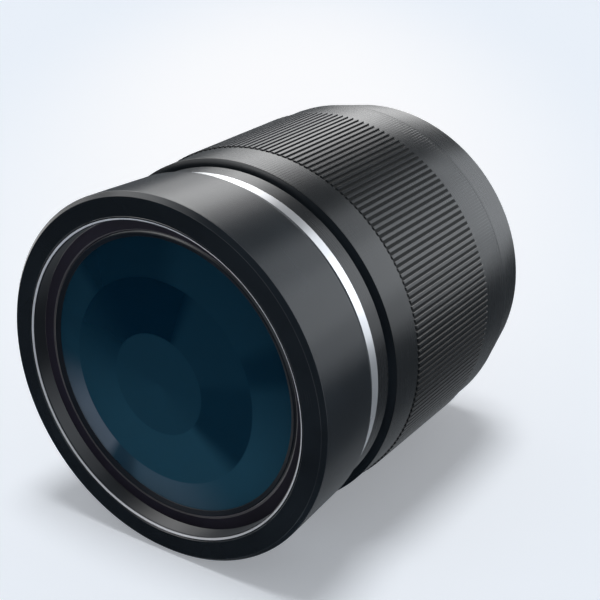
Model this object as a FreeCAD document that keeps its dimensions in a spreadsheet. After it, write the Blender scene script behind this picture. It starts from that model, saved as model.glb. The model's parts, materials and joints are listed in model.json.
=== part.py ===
import FreeCAD, Part
import math
import os
import Sketcher
from FreeCAD import Placement, Rotation, Vector

# A line scan lens lying on its side, in millimetres. The optical axis is Y and the glass looks
# towards -Y. The origin is the centre of the camera flange face. Every profile below is drawn as
# (distance from the axis, distance behind the front face), and the whole lens is then shifted
# forward by the distance from the front face to the flange.

DRIVING_SIZES = {
    # The radius that all the others follow from
    "tube_radius": 33.0,
    # Fits
    "turning_gap": 0.08,
    "fixed_gap": 0.05,
    "end_gap": 0.12,
    "shoulder_gap": 0.1,
    # Front barrel
    "front_to_flange": 78.2,
    "barrel_length": 17.98,
    "barrel_wall": 1.9,
    "barrel_taper": 0.82,
    "barrel_tail_length": 1.85,
    "barrel_tail_wall": 0.87,
    "rim_chamfer_width": 0.8,
    "rim_chamfer_length": 0.85,
    "front_lip_length": 1.5,
    "lip_to_tube": 0.2,
    # Sleeve and focus ring
    "sleeve_wall": 0.74,
    "chrome_width": 2.33,
    "sleeve_band_width": 3.17,
    "nut_wall": 1.17,
    "ring_wall": 1.1,
    "ring_face_slope": 0.6,
    "front_band_width": 8.25,
    "rib_length": 27.85,
    "rib_height": 0.35,
    "rib_width": 0.62,
    "rib_count": 180,
    "rear_band_width": 7.85,
    "ring_seam": 0.15,
    "ring_lip_length": 3.4,
    "cone_fall": 2.37,
    "cone_end_wall": 0.98,
    # Filter thread and front trim
    "tube_mouth_wall": 1.6,
    "filter_ring_wall": 0.75,
    "filter_bevel_width": 0.49,
    "filter_ring_recess": 0.05,
    "filter_bevel_depth": 0.25,
    "filter_lead_in": 0.45,
    "filter_thread_depth": 3.0,
    "trim_thickness": 1.4,
    # Focus tube and helicoid
    "tube_wall": 1.8,
    "tube_length": 58.3,
    "seat_ridge_length": 3.0,
    "barrel_flange_length": 4.6,
    "helicoid_front": 38.0,
    "helicoid_run_out": 0.5,
    "nut_length": 19.5,
    # Focus bearing
    "bearing_lip_height": 0.7,
    "bearing_lip_front": 62.0,
    "bearing_lip_length": 1.5,
    "retainer_length": 1.5,
    "retainer_clearance": 0.18,
    "focus_turn": 200.0,
    "stop_pin_radius": 0.7,
    "stop_pin_place": 65.6,
    "stop_pin_depth": 2.2,
    "stop_groove_depth": 0.55,
    "stop_end_gap": 0.6,
    # Guide sleeve and keys
    "guide_wall": 1.12,
    "guide_front": 32.0,
    "guide_rear": 70.0,
    "key_radius": 1.5,
    "key_place": 50.0,
    "key_end_gap": 0.3,
    "key_count": 3,
    "head_travel": 10.0,
    # Lens barrel and glass
    "lens_barrel_clearance": 0.3,
    "lens_barrel_wall": 0.8,
    "lens_barrel_rear": 61.0,
    "front_seat_wall": 1.14,
    "front_ring_wall": 0.76,
    "front_ring_lip": 0.2,
    "front_ring_face": 2.8,
    "front_ring_depth": 5.9,
    "front_glass_curve": 110.0,
    "front_stop_height": 2.0,
    "front_stop_face": 9.0,
    "front_stop_length": 1.0,
    "doublet_cell_wall": 5.85,
    "doublet_curve": 45.0,
    "doublet_thickness": 9.0,
    "doublet_airspace": 0.6,
    "inner_glass_step": 2.0,
    "inner_glass_thickness": 5.6,
    "hollow_curve": 30.0,
    "hollow_mouth_radius": 15.0,
    "cell_ring_length": 1.8,
    "cell_ring_hold": 1.1,
    "cell_thread_step": 0.6,
    "iris_front": 25.0,
    "iris_rear": 31.0,
    "rear_cell_rear": 46.0,
    "inner_glass_recess": 0.8,
    "rear_glass_cell_wall": 2.85,
    "rear_glass_face": 50.0,
    "rear_glass_curve": 80.0,
    "rear_glass_thickness": 7.0,
    "rear_glass_seat": 1.5,
    "rear_glass_cell_rear": 58.0,
    "rear_ring_hold": 1.0,
    "clamp_ring_wall": 2.05,
    "clamp_ring_length": 2.5,
    # Iris
    "iris_opening_radius": 15.0,
    "blade_pivot_margin": 3.85,
    "hub_pivot_step": 1.9,
    "hub_plate_thickness": 0.8,
    "cam_ring_length": 2.0,
    "blade_edge_gap": 0.6,
    "blade_thickness": 0.12,
    "blade_pitch": 0.2,
    "blade_count": 6,
    "blade_span": 102.0,
    "blade_root_angle": 2.0,
    "blade_tab_margin": 1.3,
    "blade_lever": 3.0,
    "blade_pin_radius": 0.5,
    "blade_pin_reach": 1.4,
    "iris_turn": 52.0,
    "drive_screw_radius": 0.9,
    "drive_screw_place": 14.5,
    "drive_screw_sink": 0.4,
    "drive_socket_radius": 0.45,
    "drive_socket_depth": 0.9,
    "cam_pin_radius": 0.5,
    "cam_pin_depth": 1.6,
    "link_sleeve_front": 12.6,
    "link_sleeve_rear": 30.0,
    # Camera mount
    "mount_face_width": 3.0,
    "mount_thread_length": 5.0,
    "mount_stub_wall": 2.5,
    "mount_flange_length": 3.0,
    "baffle_height": 4.5,
    "baffle_thickness": 0.8,
    "baffle_step": 0.9,
    "mount_screw_margin": 2.2,
    "mount_screw_radius": 0.8,
    "mount_screw_head_radius": 1.35,
    "mount_screw_sink": 0.15,
    "mount_screw_length": 5.5,
    "mount_screw_count": 4,
    "retainer_screw_margin": 1.12,
    "retainer_screw_radius": 0.6,
    "retainer_screw_head_radius": 1.0,
    "retainer_screw_head_length": 0.7,
    "retainer_screw_length": 4.5,
    "retainer_screw_count": 3,
    # Where the unseen screws and pins sit round the axis, from +X towards +Z
    "index_angle": 225.0,
}

# Each blade turns half as far as the iris ring
BLADE_RATIO = 0.5


class Size:
    """A length or angle that knows both its value and the sheet expression it comes from."""

    def __init__(self, value, text):
        self.value = value
        self.text = text

    def __add__(self, other):
        other = as_size(other)
        return Size(self.value + other.value, f"({self.text} + {other.text})")

    def __radd__(self, other):
        return as_size(other) + self

    def __sub__(self, other):
        other = as_size(other)
        return Size(self.value - other.value, f"({self.text} - {other.text})")

    def __rsub__(self, other):
        return as_size(other) - self

    def __mul__(self, other):
        other = as_size(other)
        return Size(self.value * other.value, f"({self.text} * {other.text})")

    def __rmul__(self, other):
        return as_size(other) * self

    def __truediv__(self, other):
        other = as_size(other)
        return Size(self.value / other.value, f"({self.text} / {other.text})")

    def __rtruediv__(self, other):
        return as_size(other) / self

    def __neg__(self):
        return self * -1


def as_size(number):
    """Let a plain number stand beside a size in a sum."""
    if isinstance(number, Size):
        return number
    return Size(float(number), f"({float(number)})")


def root(number):
    return Size(math.sqrt(number.value), f"sqrt({number.text})")


def sine(angle):
    return Size(math.sin(math.radians(angle.value)), f"sin({angle.text})")


def cosine(angle):
    return Size(math.cos(math.radians(angle.value)), f"cos({angle.text})")


def sag(curve, radius):
    """How far a spherical surface falls back from its apex at a given distance from the axis."""
    return curve - root(curve * curve - radius * radius)


doc = FreeCAD.newDocument("line_scan_lens")
sheet = doc.addObject("Spreadsheet::Sheet", "Sizes")
for row, (word, number) in enumerate(DRIVING_SIZES.items(), start=1):
    sheet.set(f"A{row}", str(number))
    sheet.setAlias(f"A{row}", word)
doc.recompute()


class Named:
    """Looks a driving size up by its word."""

    def __getattr__(self, word):
        return Size(float(DRIVING_SIZES[word]), f"Sizes.{word}")


d = Named()
ZERO = as_size(0)


def bind(item, path, size):
    item.setExpression(path, size.text)


def origin_part(body, role):
    return [feature for feature in body.Origin.OriginFeatures if feature.Role == role][0]


def new_body(label):
    """Start a body in the lens's frame, with the unseen screws turned to the index angle."""
    body = doc.addObject("PartDesign::Body", label)
    body.Label = label
    body.Placement = Placement(Vector(0, -d.front_to_flange.value, 0), Rotation(Vector(0, 1, 0), 1))
    bind(body, "Placement.Base.y", -d.front_to_flange)
    bind(body, "Placement.Rotation.Angle", -d.index_angle)
    return body


def new_sketch(body, name, role):
    sketch = body.newObject("Sketcher::SketchObject", f"{body.Label}_{name}")
    sketch.AttachmentSupport = [(origin_part(body, role), "")]
    sketch.MapMode = "FlatFace"
    return sketch


def bind_point(sketch, edge, end, across, along):
    """Tie one point of a sketch to its two sizes. A point at zero stays on the sketch's own axis."""
    for kind, axis, size in (("DistanceX", -2, across), ("DistanceY", -1, along)):
        if size is ZERO:
            sketch.addConstraint(Sketcher.Constraint("PointOnObject", edge, end, axis))
            continue
        number = sketch.addConstraint(Sketcher.Constraint(kind, -1, 1, edge, end, size.value))
        bind(sketch, f"Constraints[{number}]", size)


def draw_outline(sketch, corners):
    """Draw a closed outline of straight edges with every corner bound to the sheet."""
    points = [Vector(across.value, along.value, 0) for across, along in corners]
    total = len(points)
    for index in range(total):
        sketch.addGeometry(Part.LineSegment(points[index], points[(index + 1) % total]), False)
    for index in range(total):
        sketch.addConstraint(Sketcher.Constraint("Coincident", index, 2, (index + 1) % total, 1))
    for index, (across, along) in enumerate(corners):
        bind_point(sketch, index, 1, across, along)


def draw_circle(sketch, across, along, radius):
    centre = Vector(across.value, along.value, 0)
    edge = sketch.addGeometry(Part.Circle(centre, Vector(0, 0, 1), radius.value), False)
    bind_point(sketch, edge, 3, across, along)
    number = sketch.addConstraint(Sketcher.Constraint("Radius", edge, radius.value))
    bind(sketch, f"Constraints[{number}]", radius)


def turn_profile(body, name, corners, kind="PartDesign::Revolution", start=None, sweep=None):
    """Turn an outline round the lens's axis, or take it away with a groove.

    A part turn begins at the angle start, measured from the body's +X towards its +Z.
    """
    sketch = new_sketch(body, name, "XY_Plane")
    if start is not None:
        sketch.AttachmentOffset = Placement(Vector(0, 0, 0), Rotation(Vector(0, 1, 0), 1))
        bind(sketch, "AttachmentOffset.Rotation.Angle", -start)
    draw_outline(sketch, corners)
    feature = body.newObject(kind, f"{body.Label}_{name}_turned")
    feature.Profile = sketch
    feature.ReferenceAxis = (sketch, ["V_Axis"])
    if sweep is None:
        feature.Angle = 360
    else:
        bind(feature, "Angle", sweep)
        feature.Reversed = True
    body.Tip = feature
    return feature


def turned(label, corners):
    """A plain turned part made from one profile."""
    body = new_body(label)
    turn_profile(body, "profile", corners)
    return body


def disc_feature(body, name, circle, front, rear, kind="PartDesign::Pad"):
    """A round boss or hole along the lens's axis, from one distance behind the front to another."""
    sketch = new_sketch(body, name, "XZ_Plane")
    bind(sketch, "AttachmentOffset.Base.z", -front)
    draw_circle(sketch, *circle)
    return extrude(body, sketch, name, rear - front, kind, backwards=True)


def plate_feature(body, name, corners, front, rear):
    """A flat plate square to the lens's axis."""
    sketch = new_sketch(body, name, "XZ_Plane")
    bind(sketch, "AttachmentOffset.Base.z", -front)
    draw_outline(sketch, corners)
    return extrude(body, sketch, name, rear - front, "PartDesign::Pad", backwards=True)


def extrude(body, sketch, name, length, kind, backwards):
    """Pad or pocket a sketch. A pocket runs the other way from a pad, so its sense is turned round."""
    feature = body.newObject(kind, f"{body.Label}_{name}_drawn")
    feature.Profile = sketch
    bind(feature, "Length", length)
    feature.Reversed = backwards if kind == "PartDesign::Pad" else not backwards
    body.Tip = feature
    return feature


def radial_hole(body, name, place, radius, inner, outer):
    """A round hole along the body's +X, from one distance off the axis to another."""
    sketch = new_sketch(body, name, "YZ_Plane")
    bind(sketch, "AttachmentOffset.Base.z", inner)
    draw_circle(sketch, place, ZERO, radius)
    return extrude(body, sketch, name, outer - inner, "PartDesign::Pocket", backwards=False)


def radial_pin(label, place, radius, inner, outer):
    """A round pin along the body's +X, from one distance off the axis to another."""
    body = new_body(label)
    sketch = new_sketch(body, "section", "YZ_Plane")
    bind(sketch, "AttachmentOffset.Base.z", inner)
    draw_circle(sketch, place, ZERO, radius)
    extrude(body, sketch, "pin", outer - inner, "PartDesign::Pad", backwards=False)
    return body


def repeat(body, features, count):
    """Repeat features evenly round the lens's axis."""
    pattern = body.newObject("PartDesign::PolarPattern", f"{body.Label}_{features[0].Name}_round")
    pattern.Originals = features
    pattern.Axis = (origin_part(body, "Y_Axis"), [""])
    pattern.Angle = 360
    bind(pattern, "Occurrences", count)
    body.Tip = pattern
    return pattern


def bored_ring(inner, outer, front, rear):
    """The four corners of a plain ring's section."""
    return [(inner, front), (outer, front), (outer, rear), (inner, rear)]


# Distances behind the front face that several parts share
tube_front = d.front_lip_length + d.lip_to_tube
chrome_front = d.barrel_length + d.end_gap
chrome_rear = chrome_front + d.chrome_width
ring_front = chrome_rear + d.sleeve_band_width
rib_front = ring_front + d.front_band_width
rib_rear = rib_front + d.rib_length
crease = rib_rear + d.rear_band_width + d.ring_seam
ring_rear = crease - d.ring_seam
tube_rear = tube_front + d.tube_length
cell_flange_front = d.filter_thread_depth + d.trim_thickness
flange = d.front_to_flange

# The tube and what turns on it, from the tube outwards
sleeve_radius = d.tube_radius + d.sleeve_wall
nut_bore_radius = d.tube_radius + d.turning_gap
nut_radius = nut_bore_radius + d.nut_wall
ring_bore_radius = nut_radius + d.fixed_gap
ring_radius = ring_bore_radius + d.ring_wall
bearing_radius = ring_bore_radius - d.turning_gap
bearing_lip_radius = ring_bore_radius - d.bearing_lip_height
spigot_radius = bearing_lip_radius - d.turning_gap
iris_ring_bore = d.tube_radius + d.turning_gap
barrel_tail_radius = iris_ring_bore + d.barrel_wall
barrel_end_radius = iris_ring_bore + d.barrel_tail_wall
rim_edge_radius = barrel_tail_radius + d.barrel_taper
rim_face_radius = rim_edge_radius - d.rim_chamfer_width

# The rear cone and the camera mount, from the cone inwards
flange_edge_radius = ring_radius - d.cone_fall
mount_flange_radius = flange_edge_radius - d.cone_end_wall - d.fixed_gap
mount_thread_radius = mount_flange_radius - d.mount_face_width
mount_bore_radius = mount_thread_radius - d.mount_stub_wall
mount_screw_circle = (mount_flange_radius + mount_thread_radius) / 2
barrel_exit_radius = mount_screw_circle - d.mount_screw_margin
baffle_opening_radius = mount_bore_radius - d.baffle_height

# Inside the tube, from the tube inwards
tube_mouth_radius = d.tube_radius - d.tube_mouth_wall
filter_ring_radius = tube_mouth_radius - d.fixed_gap
filter_thread_radius = filter_ring_radius - d.filter_ring_wall
tube_bore_radius = d.tube_radius - d.tube_wall
guide_radius = tube_bore_radius - d.turning_gap
guide_bore_radius = guide_radius - d.guide_wall
retainer_bore_radius = guide_radius + d.retainer_clearance
retainer_screw_circle = spigot_radius - d.retainer_screw_margin
cell_barrel_radius = guide_bore_radius - d.lens_barrel_clearance
seat_ridge_radius = cell_barrel_radius + d.shoulder_gap
cell_bore_radius = cell_barrel_radius - d.lens_barrel_wall
cell_radius = cell_bore_radius - d.fixed_gap
front_ring_radius = cell_bore_radius - d.front_seat_wall
front_glass_radius = front_ring_radius - d.front_ring_wall
front_ring_lip_radius = front_glass_radius - d.front_ring_lip
front_stop_radius = front_glass_radius - d.front_stop_height
doublet_radius = cell_radius - d.doublet_cell_wall
inner_glass_radius = doublet_radius - d.inner_glass_step
cell_ring_bore_radius = doublet_radius - d.cell_ring_hold
rear_glass_radius = cell_radius - d.rear_glass_cell_wall
rear_cell_bore_radius = rear_glass_radius - d.rear_glass_seat
rear_ring_bore_radius = rear_glass_radius - d.rear_ring_hold
clamp_ring_bore_radius = cell_radius - d.clamp_ring_wall
blade_pivot_radius = cell_radius - d.blade_pivot_margin
iris_hub_radius = blade_pivot_radius - d.hub_pivot_step
blade_outer_radius = iris_hub_radius - d.blade_edge_gap


def rear_barrel():
    """The fixed rear cone, with the bearing for the focus ring and the seat of the camera mount."""
    spigot_front = d.bearing_lip_front - d.shoulder_gap
    shoulder = d.bearing_lip_front + d.bearing_lip_length + d.shoulder_gap
    recess = flange - d.mount_flange_length
    recess_radius = mount_flange_radius + d.fixed_gap
    guide_seat_radius = guide_radius + d.fixed_gap
    body = new_body("rear_barrel")
    turn_profile(body, "profile", [
        (guide_seat_radius, spigot_front),
        (spigot_radius, spigot_front),
        (spigot_radius, shoulder),
        (bearing_radius, shoulder),
        (bearing_radius, crease),
        (ring_radius, crease),
        (flange_edge_radius, flange),
        (recess_radius, flange),
        (recess_radius, recess),
        (barrel_exit_radius, recess),
        (barrel_exit_radius, d.guide_rear),
        (guide_seat_radius, d.guide_rear),
    ])
    screw_end = flange - d.mount_screw_sink - d.mount_screw_length - d.shoulder_gap
    mount_hole = disc_feature(
        body, "mount_hole", (screw_across("mount"), screw_along("mount"), d.mount_screw_radius + d.fixed_gap),
        screw_end, recess, "PartDesign::Pocket")
    repeat(body, [mount_hole], d.mount_screw_count)
    retainer_hole = disc_feature(
        body, "retainer_hole",
        (screw_across("retainer"), screw_along("retainer"), d.retainer_screw_radius + d.fixed_gap),
        spigot_front, retainer_face() + d.retainer_screw_length + d.end_gap + d.shoulder_gap, "PartDesign::Pocket")
    repeat(body, [retainer_hole], d.retainer_screw_count)
    radial_hole(body, "stop_pin_hole", d.stop_pin_place, d.stop_pin_radius + d.fixed_gap,
                guide_radius, ring_radius)
    return body


def screw_angle(group):
    """Screws stand half a pitch from the body's +X, where the stop pin is."""
    return 180 / getattr(d, f"{group}_screw_count")


SCREW_CIRCLES = {"mount": mount_screw_circle, "retainer": retainer_screw_circle}


def screw_across(group):
    return SCREW_CIRCLES[group] * cosine(screw_angle(group))


def screw_along(group):
    return SCREW_CIRCLES[group] * sine(screw_angle(group))


def retainer_face():
    return d.bearing_lip_front - d.shoulder_gap - d.retainer_length


def guide_sleeve():
    """The fixed sleeve whose slots keep the focus tube from turning."""
    body = new_body("guide_sleeve")
    turn_profile(body, "profile", bored_ring(guide_bore_radius, guide_radius, d.guide_front, d.guide_rear))
    slot_front = d.key_place - d.head_travel - d.key_radius - d.key_end_gap
    slot_rear = d.key_place + d.key_radius + d.key_end_gap
    half_width = d.key_radius + d.turning_gap
    sketch = new_sketch(body, "key_slot", "YZ_Plane")
    draw_outline(sketch, [
        (slot_front, -half_width),
        (slot_rear, -half_width),
        (slot_rear, half_width),
        (slot_front, half_width),
    ])
    slot = extrude(body, sketch, "key_slot", d.tube_radius, "PartDesign::Pocket", backwards=False)
    repeat(body, [slot], d.key_count)
    return body


def focus_retaining_ring():
    """Screwed to the front of the rear barrel's spigot, it holds the focus ring's inner lip."""
    face = retainer_face()
    body = turned("focus_retaining_ring", bored_ring(
        retainer_bore_radius, bearing_radius - d.shoulder_gap, face, face + d.retainer_length))
    head = disc_feature(
        body, "head_seat",
        (screw_across("retainer"), screw_along("retainer"), d.retainer_screw_head_radius + d.shoulder_gap),
        face, face + d.retainer_screw_head_length + d.end_gap, "PartDesign::Pocket")
    shank = disc_feature(
        body, "shank_hole",
        (screw_across("retainer"), screw_along("retainer"), d.retainer_screw_radius + d.fixed_gap),
        face, face + d.retainer_length, "PartDesign::Pocket")
    repeat(body, [head, shank], d.retainer_screw_count)
    return body


def retaining_ring_screws():
    """Small cheese-head screws, heads sunk in the retaining ring."""
    face = retainer_face() + d.end_gap
    place = (screw_across("retainer"), screw_along("retainer"))
    body = new_body("retaining_ring_screws")
    head = disc_feature(body, "head", (*place, d.retainer_screw_head_radius),
                        face, face + d.retainer_screw_head_length)
    shank = disc_feature(body, "shank", (*place, d.retainer_screw_radius),
                         face + d.retainer_screw_head_length, face + d.retainer_screw_length)
    repeat(body, [head, shank], d.retainer_screw_count)
    return body


def focus_stop_pin():
    """Stands in the rear barrel and meets the ends of the groove in the focus ring."""
    tip = ring_bore_radius + d.stop_groove_depth - d.turning_gap
    return radial_pin("focus_stop_pin", d.stop_pin_place, d.stop_pin_radius, tip - d.stop_pin_depth, tip)


def camera_mount_ring():
    """The flange and the outside thread that screws into the camera."""
    recess = flange - d.mount_flange_length
    thread_end = flange + d.mount_thread_length
    baffle_seat = recess + 2 * d.baffle_thickness
    inner_radius = mount_bore_radius - d.baffle_step
    body = turned("camera_mount_ring", [
        (mount_bore_radius, recess),
        (mount_flange_radius, recess),
        (mount_flange_radius, flange),
        (mount_thread_radius, flange),
        (mount_thread_radius, thread_end),
        (inner_radius, thread_end),
        (inner_radius, baffle_seat),
        (mount_bore_radius, baffle_seat),
    ])
    place = (screw_across("mount"), screw_along("mount"))
    head_depth = d.mount_screw_head_radius - d.mount_screw_radius
    head = disc_feature(
        body, "head_seat", (*place, d.mount_screw_head_radius + d.fixed_gap),
        flange - d.mount_screw_sink - head_depth - d.fixed_gap, flange, "PartDesign::Pocket")
    shank = disc_feature(
        body, "shank_hole", (*place, d.mount_screw_radius + d.fixed_gap), recess, flange, "PartDesign::Pocket")
    repeat(body, [head, shank], d.mount_screw_count)
    return body


def mount_screws():
    """Flat-head screws that hold the mount ring to the rear barrel."""
    face = flange - d.mount_screw_sink
    head_depth = d.mount_screw_head_radius - d.mount_screw_radius
    place = (screw_across("mount"), screw_along("mount"))
    body = new_body("mount_screws")
    shank = disc_feature(
        body, "shank", (*place, d.mount_screw_radius), face - d.mount_screw_length, face - head_depth)
    head = disc_feature(body, "head", (*place, d.mount_screw_head_radius), face - head_depth, face)
    repeat(body, [shank, head], d.mount_screw_count)
    return body


def rear_baffle():
    """A black ring behind the rear glass that stops stray light."""
    seat = flange - d.mount_flange_length + 2 * d.baffle_thickness
    return turned("rear_baffle", bored_ring(
        baffle_opening_radius, mount_bore_radius - d.fixed_gap, seat - d.baffle_thickness, seat))


def focus_ring():
    """The turning ring with its band of raised ribs, its bearing lip and its stop groove."""
    lip_radius = sleeve_radius + d.turning_gap
    lip_rear = ring_front + d.ring_lip_length
    bearing_rear = d.bearing_lip_front + d.bearing_lip_length
    body = new_body("focus_ring")
    turn_profile(body, "profile", [
        (lip_radius, ring_front),
        (ring_radius, ring_front + d.ring_face_slope),
        (ring_radius, ring_rear),
        (ring_bore_radius, ring_rear),
        (ring_bore_radius, bearing_rear),
        (bearing_lip_radius, bearing_rear),
        (bearing_lip_radius, d.bearing_lip_front),
        (ring_bore_radius, d.bearing_lip_front),
        (ring_bore_radius, lip_rear),
        (lip_radius, lip_rear),
    ])
    groove_half = d.stop_pin_radius + d.turning_gap
    pin_angle = (d.stop_pin_radius + d.stop_end_gap) * 180 / (math.pi * bearing_radius)
    groove_inner = bearing_radius
    turn_profile(
        body, "stop_groove",
        bored_ring(groove_inner, ring_bore_radius + d.stop_groove_depth,
                   d.stop_pin_place - groove_half, d.stop_pin_place + groove_half),
        "PartDesign::Groove", start=-pin_angle - d.focus_turn, sweep=d.focus_turn + 2 * pin_angle)
    rib = plate_feature(body, "rib", [
        (ring_radius - d.rib_height, -d.rib_width / 2),
        (ring_radius + d.rib_height, -d.rib_width / 2),
        (ring_radius + d.rib_height, d.rib_width / 2),
        (ring_radius - d.rib_height, d.rib_width / 2),
    ], rib_front, rib_rear)
    repeat(body, [rib], d.rib_count)
    return body


def helicoid_nut():
    """The inside half of the focus thread, cemented into the focus ring."""
    front = d.helicoid_front + d.helicoid_run_out
    return turned("helicoid_nut", bored_ring(nut_bore_radius, nut_radius, front, front + d.nut_length))


def focus_tube():
    """The sliding tube that carries the optics, with the outside half of the focus thread."""
    ridge_front = cell_flange_front + d.barrel_flange_length
    ridge_rear = ridge_front + d.seat_ridge_length
    body = new_body("focus_tube")
    turn_profile(body, "profile", [
        (tube_mouth_radius, tube_front),
        (d.tube_radius, tube_front),
        (d.tube_radius, chrome_rear),
        (sleeve_radius, chrome_rear),
        (sleeve_radius, d.helicoid_front),
        (d.tube_radius, d.helicoid_front),
        (d.tube_radius, tube_rear),
        (tube_bore_radius, tube_rear),
        (tube_bore_radius, ridge_rear),
        (seat_ridge_radius, ridge_rear),
        (seat_ridge_radius, ridge_front),
        (tube_mouth_radius, ridge_front),
    ])
    half_width = d.drive_screw_radius + d.turning_gap
    screw_half_angle = (d.drive_screw_radius + d.stop_end_gap) * 180 / (math.pi * tube_bore_radius)
    turn_profile(
        body, "iris_slot",
        bored_ring(seat_ridge_radius, sleeve_radius,
                   d.drive_screw_place - half_width, d.drive_screw_place + half_width),
        "PartDesign::Groove", start=-screw_half_angle, sweep=d.iris_turn + 2 * screw_half_angle)
    key_hole = radial_hole(body, "key_hole", d.key_place, d.key_radius + d.fixed_gap,
                           guide_bore_radius, sleeve_radius)
    repeat(body, [key_hole], d.key_count)
    return body


def guide_keys():
    """Three round keys in the tube wall that run in the guide sleeve's slots."""
    body = radial_pin("guide_keys", d.key_place, d.key_radius,
                      guide_bore_radius + d.shoulder_gap, d.tube_radius - d.shoulder_gap)
    repeat(body, [body.Tip], d.key_count)
    return body


def chrome_ring():
    """The bright ring behind the front barrel."""
    return turned("chrome_ring", bored_ring(
        d.tube_radius + d.fixed_gap, sleeve_radius, chrome_front, chrome_rear))


def filter_ring():
    """The bright threaded ring inside the rim."""
    bevel_rear = d.filter_ring_recess + d.filter_bevel_depth
    return turned("filter_ring", [
        (filter_ring_radius, d.filter_ring_recess),
        (filter_ring_radius, cell_flange_front),
        (filter_thread_radius, cell_flange_front),
        (filter_thread_radius, bevel_rear + d.filter_lead_in),
        (filter_ring_radius - d.filter_bevel_width, bevel_rear),
        (filter_ring_radius - d.turning_gap, d.filter_ring_recess),
    ])


def trim_ring():
    """The flat dark ring round the front glass."""
    return turned("trim_ring", bored_ring(
        front_ring_radius + d.turning_gap, filter_thread_radius - d.shoulder_gap,
        d.filter_thread_depth, cell_flange_front))


front_lip_face = d.front_ring_face + d.filter_lead_in
front_lip_rear = front_lip_face + 2 * d.turning_gap


def front_retaining_ring():
    """The bevelled ring that holds the front glass in."""
    glass_bore = front_glass_radius + d.turning_gap
    return turned("front_retaining_ring", [
        (front_ring_radius - 2 * d.shoulder_gap, d.front_ring_face),
        (front_ring_radius, d.front_ring_face + d.shoulder_gap),
        (front_ring_radius, d.front_ring_depth),
        (glass_bore, d.front_ring_depth),
        (glass_bore, front_lip_rear),
        (front_ring_lip_radius, front_lip_rear),
        (front_ring_lip_radius, front_lip_face),
    ])


def lens_barrel():
    """The inner barrel that carries all the glass and the iris."""
    stop_rear = d.front_stop_face + d.front_stop_length
    body = new_body("lens_barrel")
    turn_profile(body, "profile", [
        (front_ring_radius + d.turning_gap, cell_flange_front),
        (filter_ring_radius, cell_flange_front),
        (filter_ring_radius, cell_flange_front + d.barrel_flange_length),
        (cell_barrel_radius, cell_flange_front + d.barrel_flange_length),
        (cell_barrel_radius, d.lens_barrel_rear),
        (cell_bore_radius, d.lens_barrel_rear),
        (cell_bore_radius, stop_rear),
        (front_stop_radius, stop_rear),
        (front_stop_radius, d.front_stop_face),
        (front_glass_radius + d.shoulder_gap, d.front_stop_face),
        (front_glass_radius + d.shoulder_gap, d.front_ring_depth + d.shoulder_gap),
        (front_ring_radius + d.turning_gap, d.front_ring_depth + d.shoulder_gap),
    ])
    half_width = d.cam_pin_radius + d.turning_gap
    pin_half_angle = (d.cam_pin_radius + d.stop_end_gap) * 180 / (math.pi * cell_bore_radius)
    turn_profile(
        body, "iris_slot",
        bored_ring(cell_bore_radius - d.shoulder_gap, cell_barrel_radius + d.shoulder_gap,
                   cam_pin_place() - half_width, cam_pin_place() + half_width),
        "PartDesign::Groove", start=-pin_half_angle, sweep=d.iris_turn + 2 * pin_half_angle)
    return body


def glass(label, radius, front, rear, curve, middle, hollow=False):
    """A round glass with one flat face, and one face cut by a sphere about a point on the axis."""
    blank = on_axis("Part::Cylinder", f"{label}_blank", front)
    bind(blank, "Radius", radius)
    bind(blank, "Height", rear - front)
    ball = on_axis("Part::Sphere", f"{label}_ball", middle)
    bind(ball, "Radius", curve)
    ground = doc.addObject("Part::Cut" if hollow else "Part::Common", label)
    ground.Label = label
    ground.Base = blank
    ground.Tool = ball
    return ground


def on_axis(kind, name, place):
    """A Part primitive standing on the lens's axis at a distance behind the front face."""
    item = doc.addObject(kind, name)
    item.Placement = Placement(Vector(0, 0, 0), Rotation(Vector(1, 0, 0), -90))
    bind(item, "Placement.Base.y", place - d.front_to_flange)
    return item


def front_element():
    """The big front glass, domed in front and flat behind."""
    apex = front_lip_rear + d.fixed_gap - sag(d.front_glass_curve, front_ring_lip_radius)
    return glass("front_element", front_glass_radius, apex, d.front_stop_face,
                 d.front_glass_curve, apex + d.front_glass_curve)


doublet_apex = d.front_stop_face + d.doublet_airspace
front_joint = doublet_apex + d.doublet_thickness
front_hollow_face = front_joint + d.inner_glass_thickness
rear_hollow_face = d.iris_rear + d.inner_glass_recess
rear_joint = rear_hollow_face + d.inner_glass_thickness
rear_apex = rear_joint + d.doublet_thickness
hollow_depth = sag(d.hollow_curve, d.hollow_mouth_radius)
ring_hold = sag(d.doublet_curve, cell_ring_bore_radius) - d.shoulder_gap
doublet_edge = sag(d.doublet_curve, doublet_radius)


def second_element():
    """The bulging half of the front doublet."""
    return glass("second_element", doublet_radius, doublet_apex, front_joint,
                 d.doublet_curve, doublet_apex + d.doublet_curve)


def third_element():
    """The hollow half of the front doublet, facing the iris."""
    return glass("third_element", inner_glass_radius, front_joint, front_hollow_face,
                 d.hollow_curve, front_hollow_face - hollow_depth + d.hollow_curve, hollow=True)


def fourth_element():
    """The hollow half of the rear doublet, facing the iris."""
    return glass("fourth_element", inner_glass_radius, rear_hollow_face, rear_joint,
                 d.hollow_curve, rear_hollow_face + hollow_depth - d.hollow_curve, hollow=True)


def fifth_element():
    """The bulging half of the rear doublet."""
    return glass("fifth_element", doublet_radius, rear_joint, rear_apex,
                 d.doublet_curve, rear_apex - d.doublet_curve)


def sixth_element():
    """The rear glass, flat in front and curved behind."""
    apex = d.rear_glass_face + d.rear_glass_thickness
    return glass("sixth_element", rear_glass_radius, d.rear_glass_face, apex,
                 d.rear_glass_curve, apex - d.rear_glass_curve)


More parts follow.
